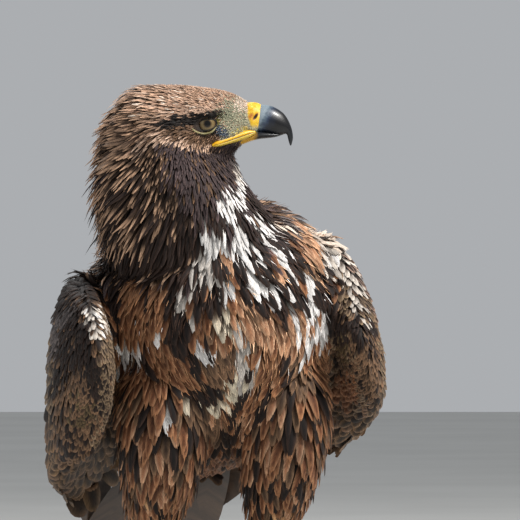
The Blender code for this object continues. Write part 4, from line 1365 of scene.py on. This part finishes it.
def lay_coat(
    name, skin, chosen, pattern, finish, seed,
    crowd=1.0, longer=1.0, wider=1.0, stir=7.0, proud=0.0, paler=1.0, ahead=None,
):
    """Lays one coat piece of feathers over the chosen faces of the skin. They can be closer, longer or wider
    by a share, turned at random by degrees, proud of the coat by millimetres, paler, or straight one way."""
    rng = np.random.default_rng(seed)
    spots, faces = scatter(skin, chosen, seed, crowd)
    count = len(spots)
    value = {key: field[faces] for key, field in skin.face_values.items()}
    length = value["length"] * longer * rng.normal(1, 0.11, count).clip(0.7, 1.35)
    width = value["width"] * wider * rng.normal(1, 0.12, count).clip(0.7, 1.3)
    depth = value["depth"]
    up = skin.face_normal[faces]
    heading = skin.face_lie[faces] if ahead is None else np.broadcast_to(ahead, up.shape)
    heading = unit(heading - up * dot(heading, up))
    sway = np.radians(rng.normal(0, stir, count))[:, None]
    heading = unit(heading * np.cos(sway) + np.cross(up, heading) * np.sin(sway))
    lift = np.sin(np.radians(value["lift"] * rng.normal(1, 0.35, count).clip(0.2, 2.2)))

    ground, ups = along_skin(skin, spots, up, heading, length, pattern, ahead is not None)

    shown = spots + (ground[:, -1] - spots) * 0.75
    corner = skin.faces[faces][:, 0]
    part = {key: mask[corner] for key, mask in skin.part.items()}
    sort = sorts_at(shown, skin.face_normal[faces], part, rng.random(count))
    # Dark feathers lie over the white ones, so that their points show.
    rank = rng.random(count) * 0.3 + 0.6 + 0.16 * np.isin(sort, TOP_SORTS)

    # A shaft rises through the coat to its rank, and its lift raises its tip further.
    rise = pattern.places
    height = depth[:, None] * rank[:, None] * (1 - (1 - rise) ** 2)[None] - 0.4 * (1 - rise)[None]
    height = height + (length * lift)[:, None] * (rise**1.4)[None] + proud * rise[None]
    spine = ground + ups * height[..., None]
    heading = unit(shaft_steps(spine))
    roll = np.radians(rng.normal(0, 7, count))[:, None, None]
    ups = unit(ups - heading * dot(ups, heading))
    ups = unit(ups * np.cos(roll) + np.cross(heading, ups) * np.sin(roll))

    patches = 0.84 + 0.32 * mottle(spots, 30, 21)
    shade = (paler * rng.normal(1, 0.16, count).clip(0.6, 1.5) * patches)[:, None]
    tones = [0, 1, 2, 3, 4] if paler == 1 else [2, 3, 3, 3, 4]  # a paler coat has no dark roots or middles
    paint = [SORT_COLOURS[sort, k] * shade for k in tones] + [SORT_EDGE[sort], SORT_TIP[sort]]
    patch, chance = skin.face_map[faces], rng.random(count)
    return vane_mesh(name, pattern, spine, heading, ups, width, length, paint, patch, chance, finish, seed)


# ------------------------------------------------------------------------------------ wings and tail


def wing_rows(side):
    """The folded wing's rings as they are carried on this side."""
    out, ahead, lift, roll, full = WING_CARRIAGE[side]
    droop = [*WRIST_DROOP[side], *[0] * len(WING)]
    rows = []
    for k, (x, y, z, wide, tall, tip) in enumerate(WING):
        share = 1 - k / (len(WING) - 1)
        z += lift * share**2 - droop[k]
        wide *= 1 + (full - 1) * share
        rows.append((x + out * share, y - ahead, z, wide, tall, -(tip + roll * share)))
    return mirrored(rows, side)


def ring_reader(rows, count):
    """A function that reads the rings of the leant body at any place along them: the centre, the ways out and
    up, and half the width and half the height."""
    frames = ring_frames(rows, count)
    places = np.linspace(0, len(rows) - 1, count)
    out = np.array([f[1] for f in frames]) @ LEAN_WAYS.T
    high = -np.array([f[2] for f in frames]) @ LEAN_WAYS.T
    fields = np.column_stack([[LEAN @ f[0] for f in frames], out, high, [f[3:] for f in frames]])

    def read(along):
        """The fields at these places."""
        found = np.stack([np.interp(along, places, field) for field in fields.T], axis=-1)
        return found[..., :3], found[..., 3:6], found[..., 6:9], found[..., 9], found[..., 10]

    return read


def wing_sheet(side):
    """A function that gives places on the folded wing's outer face, and its outward direction.
    It takes how far along (0 to 10, as the rings), how high (-1 to 1), and how deep below the outside."""
    read = ring_reader(wing_rows(side), 101)

    def sheet(along, up, deep):
        """Places on the face, and the ways out from it."""
        centre, out, high, wide, tall = read(along)
        out = out * SIDES[side]
        bulge = np.sqrt(np.clip(1 - up**2, 0.02, 1))
        point = centre + high * (up * tall)[..., None] + out * (bulge * wide - deep)[..., None]
        outward = unit(out * (bulge / np.maximum(wide, 1))[..., None] + high * (up / tall)[..., None])
        return point, outward

    return sheet


def lay_quills(name, skin, sheet, pattern, quills, finish, seed):
    """Flight feathers. Each quill: (along, up) of root and tip, width, depth of root and tip, sort."""
    rng = np.random.default_rng(seed)
    count = len(quills)
    data = np.array([q[:7] for q in quills], float)
    share = pattern.places[None]
    along = data[:, 0:1] + (data[:, 2:3] - data[:, 0:1]) * share
    up = data[:, 1:2] + (data[:, 3:4] - data[:, 1:2]) * (share**0.85)
    deep = data[:, 5:6] + (data[:, 6:7] - data[:, 5:6]) * share
    spine, outward = sheet(along, up, deep)
    steps = shaft_steps(spine)
    length = np.linalg.norm(steps[:, :-1], axis=2).sum(axis=1) / (pattern.places[-1] - pattern.places[0])
    heading = unit(steps)
    outward = unit(outward - heading * dot(outward, heading))
    sort = np.array([SORT_NAMES.index(q[7]) for q in quills])
    shade = rng.normal(1, 0.1, count).clip(0.75, 1.3)[:, None]
    paint = [SORT_COLOURS[sort, k] * shade for k in range(5)] + [SORT_EDGE[sort] * 0.6, np.full(count, 0.95)]
    patch, chance = skin.face_map[skin.under(spine[:, 0])[1]], rng.random(count)
    sizes = data[:, 4], length
    return vane_mesh(name, pattern, spine, heading, outward, *sizes, paint, patch, chance, finish, seed)


def wing_quills(side, skin, finish):
    """Ten primaries that reach the wing's end, and over them fifteen secondaries stacked down the side."""
    quills = []
    for k in range(10):
        tip = 6.6 + 3.3 * min(1, (k + 1) / 8) ** 0.8
        quills.append((4.2, -0.62 + 0.03 * k, tip, -0.66 + 0.1 * k, 25, 3.5, 2.2 - 0.1 * k, "mantle"))
    for k in range(15):
        high = -0.6 + 1.38 * k / 14
        quills.append((3.2, high, 5.5 + 2.1 * (k / 14) ** 1.2, high * 0.9, 31, 3.2, 0.9 - 0.03 * k, "covert"))
    return lay_quills(f"quills_{side}", skin, wing_sheet(side), QUILL, quills, finish, 40 + (side == "left"))


def tail_sheet(along, side, deep):
    """Places on the tail's upper face: along 0 to 7 as its rings, side -1 to 1."""
    read = ring_reader(TAIL, 71)
    centre, wide, high, _, thick = read(along)
    half = read(np.minimum(along, 5))[3]  # the tail feathers don't draw in at the tail's end
    droop = thick * (1 - 0.5 * side**2)
    point = centre + wide * (side * half)[..., None] + high * (droop - deep)[..., None]
    return point, unit(high + wide * (side * 0.25)[..., None])


def tail_quills(skin, finish):
    """Twelve tail feathers, the middle pair on top."""
    quills = []
    for k in range(6):
        for flip in SIDES.values():
            side = flip * (k + 0.5) / 6
            tip = 6.9 - 0.012 * (k + 1) ** 2
            quills.append((0.6, side * 0.7, tip, side * 0.86, 36, 1 + 0.9 * k, 0.4 + 0.75 * k, "mantle"))
    return lay_quills("tail_quills", skin, tail_sheet, STEER, quills, finish, 60)


# ------------------------------------------------------------------------------------ head parts


def make_bill(horn, cere_skin, gape_skin):
    """Upper and lower bill, the cere with its nostrils, and the lips of the gape."""
    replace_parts(piece("bill_upper_horn", blade(BILL, 56, 36), horn), "bill_upper")
    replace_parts(piece("bill_lower_horn", blade(MANDIBLE, 30, 24), horn), "bill_lower")

    cere = blade(CERE, 40, 64)
    for flip in SIDES.values():
        for step in range(5):
            share = step / 4 - 0.5
            slit = NOSTRIL + Vector((3.4 * share, flip * 10.4, 4.6 * share))
            push(cere, slit, 1.5, (0, -flip * 1.4, 0))
        push(cere, (29.5, HEAD_Y + flip * 8.5, 451), 5, (0, flip * 1.0, 0.3))
        push(cere, (34, HEAD_Y + flip * 9.5, 443), 3, (0, flip * 0.5, 0))
    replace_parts(piece("cere_skin", cere, cere_skin), "cere")

    for side, flip in SIDES.items():
        count = 40
        rows = [(x, HEAD_Y + flip * y, z, wide, tall, 0) for x, y, z, wide, tall, _ in GAPE]
        rows[0] = (*rows[0][:3], 0.8, 0.8, 0)
        rows[-2] = (25.5, HEAD_Y + flip * 10.8, 429.6, 1.9, 3.0, 0)
        rows[-1] = (31.5, HEAD_Y + flip * 9.0, 431.1, 0.5, 0.9, 0)

        def lips(turn, place):
            """The two lips meet in a groove along the outside, lower and lower towards the bill."""
            u, v = math.cos(turn), math.sin(turn)
            groove = math.exp(-((v - 0.42 + 0.4 * place) ** 2) / 0.02) * (u > 0)
            return u * (1 - 0.45 * groove), v

        made = piece(f"gape_lips_{side}", loft(rows, count, 48, across=(0, flip, 0), form=lips), gape_skin)
        rings = [(f[0], f[2], f[4]) for f in ring_frames(rows, count, (0, flip, 0))]

        def level(point):
            """How far above the groove a point is, as a share of the lips' height, and how far along them."""
            k = min(range(count), key=lambda n: (rings[n][0] - point).length)
            centre, tall, half = rings[k]
            return (point - centre).dot(tall) / half - 0.42 + 0.4 * k / (count - 1), k / (count - 1)

        def seam(point):
            """1 in the groove and 0 away from it: where the lips' painted shade lies."""
            off, place = level(point)
            return math.exp(-(off**2) / 0.014) * min(1, place * 2.4)

        note_points(made, seam=seam, ring=lambda point: float(ease(-0.1, 0.15, level(point)[0])))
        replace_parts(made, f"gape_{side}")


def make_eye(side, wet, lid_skin, skin):
    """An eyeball with its rings and spokes, and a rim of lids round it."""
    flip = SIDES[side]
    centre = EYE + Vector((0, flip * EYE_SIDE, 0))
    bm = bmesh.new()
    bmesh.ops.create_uvsphere(bm, u_segments=96, v_segments=72, radius=EYE_RADIUS)
    bmesh.ops.rotate(bm, verts=bm.verts, matrix=Matrix.Rotation(math.radians(-90 * flip), 3, "X"))
    bmesh.ops.translate(bm, verts=bm.verts, vec=centre)
    made = piece(f"eyeball_{side}", bm, wet)
    gaze = Vector((0.06, flip, 0.0)).normalized()

    def spoke(point):
        """A number that changes round the pupil."""
        turn = math.atan2(point.z - centre.z, point.x - centre.x)
        return math.sin(3 * turn) + turn * 0.5

    note_points(made, ring=lambda point: gaze.angle(point - centre) / EYE_RINGS, spoke=spoke)
    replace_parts(made, f"eye_{side}")

    def rim(turn):
        """The opening of the lids, from the eyeball's centre, as seen from the side."""
        u, v = math.cos(turn), math.sin(turn)
        return 7.9 * u + 0.1, (3.4 if v > 0 else 5.0) * v + 0.9 * u

    rings = []
    around, across = 72, 12
    for k in range(around):
        turn = 2 * math.pi * k / around
        (u, v), (nu, nv) = rim(turn), rim(turn + 0.01)
        spot = centre + Vector((u, flip * math.sqrt(max(0.0, (EYE_RADIUS + 0.1) ** 2 - u * u - v * v)), v))
        outward = (spot - centre).normalized()
        aside = outward.cross(Vector((nu - u, 0, nv - v))).normalized() * flip
        spot += aside * LID_THICK * 0.9
        rings.append([])
        for step in range(across):
            bend = 2 * math.pi * step / across
            rings[-1].append(spot + outward * (math.sin(bend) * 0.6) + aside * (math.cos(bend) * LID_THICK))
    bm = bmesh.new()
    bridge(bm, rings, endless=True)
    lids = piece(f"eyelids_{side}", bm, lid_skin)
    # The whole rim takes the near black: dark lid skin, and painted shade under the brow.
    note_points(lids, seam=lambda point: 0.0)

    rows = []
    for k, (u, v) in enumerate(LOWER_LID):
        far = Vector((centre.x + u, HEAD_Y + flip * 80, centre.z + v))
        spot = skin.tree.ray_cast(far, Vector((0, -flip, 0)))[0]
        size = 0.35 if k in (0, len(LOWER_LID) - 1) else 0.75
        rows.append((spot.x, spot.y + flip * 0.9, spot.z, size * 0.9, size, 0))
    ring = piece(f"lower_lid_{side}", loft(rows, 40, 14, across=(0, flip, 0)), lid_skin)
    note_points(ring, seam=lambda point: 1.0)


# ------------------------------------------------------------------------------------ feet


def make_foot(side, scales, horn):
    """One foot with its scaled toes, and its claws."""
    flip = SIDES[side]
    middle = Vector((flip * LEG_SIDE, FOOT_Y, 0))
    everything = bmesh.new()
    for name, (heading, length, claw) in TOES.items():
        heading = flip * math.radians(heading)
        ahead = Vector((math.sin(heading), -math.cos(heading), 0))
        across = (ahead.y, -ahead.x, 0)
        rows = []
        for share, wide, high in TOE_SWELL:
            at = middle + ahead * (length * share)
            half = TOE_RADIUS * wide
            rows.append((at.x, at.y, TOE_RADIUS * high - SOLE_CUT, half, half * 1.02, 0))

        def scutes(turn, place):
            """Overlapping plates across the top of the toe."""
            u, v = math.cos(turn), math.sin(turn)
            plates = abs(math.sin(math.pi * place * length / SCUTE)) * (0.05 if abs(v) > 0.2 else 0.02)
            return u * (0.97 + plates), v * (0.97 + plates)

        absorb(everything, loft(rows, 70, 28, across=across, form=scutes))

        root = middle + ahead * (length - 3) + Vector((0, 0, TOE_RADIUS * 0.9))
        rows, radius = [], claw / CLAW_ARC
        for share in CLAW_RINGS:
            angle = CLAW_RISE + CLAW_ARC * share
            out = radius * (math.sin(angle) - math.sin(CLAW_RISE))
            rise = radius * (math.cos(angle) - math.cos(CLAW_RISE))
            at = root + ahead * out + Vector((0, 0, rise))
            thick = 0.7 + 5.0 * (1 - share) ** 0.8
            rows.append((at.x, at.y, at.z, thick * 0.82, thick, 0))
        bm = loft(rows, 26, 18, across=across)
        bmesh.ops.transform(bm, matrix=UPRIGHT, verts=bm.verts)
        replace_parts(piece(f"talon_{name}_{side}", bm, horn), f"claw_{name}_{side}")
    absorb(everything, loft([(middle.x, middle.y + y, 9, wide, wide * 0.8, 0) for y, wide in BALL], 16, 24))
    foot = melted(everything, FOOT_GRAIN, rounds=1)
    bmesh.ops.transform(foot, matrix=UPRIGHT, verts=foot.verts)
    for vertex in foot.verts:
        vertex.co.z = max(vertex.co.z, 0.02)
    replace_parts(piece(f"toes_{side}", foot, scales), f"foot_{side}")


# ------------------------------------------------------------------------------------ the studio


SENSOR = 36  # millimetres
CAMERA_AWAY = 6.0  # metres
FRAMED = 0.4368  # metres across the picture, at the head
AIM = (35.3, 323.8)  # x and z of the middle of the picture


def studio():
    """A pale floor, soft lights, and a long lens level with the bird."""
    finish = Finish("studio_floor")
    place = finish.add("TexCoord")
    cloud = finish.add("TexNoise", (place, "Object"), 3, 2)
    colour = finish.add("ValToRGB", cloud, stops=[(0.3, "#c2c2bf"), (0.7, "#cacac7")])
    bm = bmesh.new()
    bmesh.ops.create_grid(bm, x_segments=8, y_segments=8, size=9)
    mesh = meshed("studio_floor", bm)
    mesh.materials.append(finish.surface(colour, Roughness=0.8))
    placed("studio_floor", mesh)

    world = bpy.data.worlds.new("studio_air")
    world.use_nodes = True
    air = world.node_tree.nodes["Background"]
    air.inputs["Color"].default_value = (0.93, 0.96, 1.0, 1)
    air.inputs["Strength"].default_value = 0.44
    bpy.context.scene.world = world

    target = HOME + Vector((20, -20, 330)) * MM
    # Each light's place from the target and its size in metres, its power in watts and its colour.
    for name, spot, size, power, colour in (
        ("key_light", (1.4, -1.0, 2.0), 0.45, 102, (1.0, 0.97, 0.93)),
        ("fill_light", (-1.9, -1.5, 0.7), 1.6, 4.5, (0.93, 0.96, 1.0)),
        ("back_light", (-0.8, 1.3, 1.9), 0.9, 28, (1.0, 0.99, 0.97)),
    ):
        lamp = bpy.data.lights.new(name, "AREA")
        lamp.shape = "DISK"
        lamp.size = size
        lamp.energy = power
        lamp.color = colour
        light = placed(name, lamp)
        light.location = target + Vector(spot)
        light.rotation_euler = (target - light.location).to_track_quat("-Z", "Y").to_euler()
    bpy.context.scene.view_settings.view_transform = "Standard"

    lens = bpy.data.cameras.new("camera")
    lens.sensor_width = SENSOR
    lens.lens = SENSOR * CAMERA_AWAY / FRAMED
    lens.clip_end = 10 * CAMERA_AWAY
    camera = placed("camera", lens)
    camera.location = HOME + Vector((AIM[0], HEAD_Y - CAMERA_AWAY / MM, AIM[1])) * MM
    camera.rotation_euler = (math.radians(90), 0, 0)
    bpy.context.scene.camera = camera


# ------------------------------------------------------------------------------------ the bird


def unwrap(skin, made):
    """Lays the skin's own shape out flat, and notes where each of its faces went."""
    bpy.context.view_layer.objects.active = made
    made.select_set(True)
    bpy.ops.object.mode_set(mode="EDIT")
    bpy.ops.mesh.select_all(action="SELECT")
    bpy.ops.uv.smart_project(angle_limit=math.radians(66), island_margin=0.004)
    bpy.ops.object.mode_set(mode="OBJECT")
    made.select_set(False)
    layer = made.data.uv_layers.active
    layer.name = "OFBake"
    spots = np.zeros(len(made.data.loops) * 2, np.float32)
    layer.data.foreach_get("uv", spots)
    skin.face_map = spots.reshape(-1, 3, 2).mean(axis=1)


def skin_piece(skin, finish):
    """The skin as a piece, with its map and its colours."""
    made = placed("skin", joined_mesh("skin", skin.points, skin.faces, finish))
    unwrap(skin, made)
    paint_skin(skin, made)
    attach(made, "root")
    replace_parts(made, "head", *FLESH)
    return made


def bare_face(x, y, z):
    """Where the face has no feathers."""
    off_x, off_z = x - EYE.x, z - EYE.z
    eyes = np.hypot((off_x - 0.6) / 9.4, (off_z + 0.4) / 6.6) < 1.0
    ring = np.interp(off_x, [p[0] for p in LOWER_LID], [p[1] for p in LOWER_LID])
    lids = (np.abs(off_z - ring) < 1.1) & (off_x > LOWER_LID[0][0]) & (off_x < LOWER_LID[-1][0] + 1.5)
    before_eyes = np.hypot((x - 1.2) / 2.4, (z - 440.0) / 3.2) < 1.0
    gape = (x > 8) & (z > 424) & (z < 430) & (np.abs(y - HEAD_Y) < 9)
    return eyes | lids | before_eyes | gape | (x > 23.6)  # the bill grows at the last


def feather_all(skin, vane):
    """The coat pieces, from the face back and down."""
    centre = skin.points[skin.faces].mean(axis=1)
    x, y, z = centre.T
    of = {name: mask[skin.faces[:, 0]] for name, mask in skin.part.items()}
    bare = bare_face(x, y, z)
    bristly = of["head"] & (x > 20.2) & (x < 23.9) & (z > 430)
    face = of["head"] & (x > -14) & ~bare
    crown = of["head"] & (x <= -14) & (x > -60) & ~bare
    nape = of["head"] & (x <= -60)
    hackles = of["neck"] & (skin.hackled[skin.faces[:, 0]] > 0.5)
    throat = of["neck"] & ~hackles
    back = of["trunk"] & (skin.back[skin.faces[:, 0]] > 0.5)
    breast = of["trunk"] & ~back
    ahead = (y < 45) & (z > 190)
    # Nothing grows on the stump of the arm inside the quills.
    rearward = skin.face_normal @ np.array(BACKWARD)
    beyond = (centre - np.array(WING_SKIN_END)) @ np.array(BACKWARD)
    stump = (beyond > -16) & (rearward > 0.4)
    # Nor on the trunk's end, inside the root of the tail.
    rump = (y > 140) & (rearward > 0.35) & (skin.face_normal[:, 2] < 0.3)
    wispy = dict(crowd=1.4, longer=0.5, wider=0.09, stir=13, proud=2.2, paler=1.12)
    bristling = dict(longer=1.7, wider=0.5, stir=17, proud=0.35, ahead=(1, 0, -0.1))
    coats = {
        "coat_face": (face, FINE, dict(stir=9)),
        "coat_crown": (crown, TUFT, dict(stir=11, crowd=1.05)),
        "coat_nape": (nape, HACKLE, dict(stir=9)),
        "coat_hackles": (hackles, HACKLE, dict(stir=9)),
        "coat_throat": (throat, HACKLE, dict(crowd=1.05)),
        "coat_breast": (breast & ~rump & (x > 0), LANCE, {}),
        "coat_side": (breast & ~rump & (x <= 0), LANCE, {}),
        "coat_back": (back & ~rump, COVERT, {}),
        "coat_thigh_left": (of["thigh_left"], LANCE, {}),
        "coat_thigh_right": (of["thigh_right"], LANCE, {}),
        "coat_shanks": (of["shank_left"] | of["shank_right"], TUFT, {}),
        "coat_wing_left": (of["wing_left"] & ~stump, COVERT, dict(stir=5)),
        "coat_wing_right": (of["wing_right"] & ~stump, COVERT, dict(stir=5)),
        "coat_wisps": (breast & ahead, WISP, wispy),
        "coat_bristles": (bristly, FINE, bristling),
    }
    for seed, (name, (chosen, pattern, extra)) in enumerate(coats.items(), 100):
        lay_coat(name, skin, chosen, pattern, vane, seed, **extra)


def main():
    """Builds the whole bird and its studio."""
    vane, quill = vane_finish(), quill_finish()
    skin = draw_skin()
    dress(skin)
    sink(skin)
    shape_face(skin)
    skin.settle()
    skin_piece(skin, skin_finish())
    feather_all(skin, vane)
    for side in SIDES:
        wing_quills(side, skin, quill)
    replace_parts(tail_quills(skin, quill), "tail")
    make_bill(horn_finish(), cere_finish(), gape_finish())
    wet, lid_skin = eye_finish(), lid_finish()
    for side in SIDES:
        make_eye(side, wet, lid_skin, skin)
    scales, claws = toe_finish(), claw_finish()
    for side in SIDES:
        make_foot(side, scales, claws)
    studio()


main()
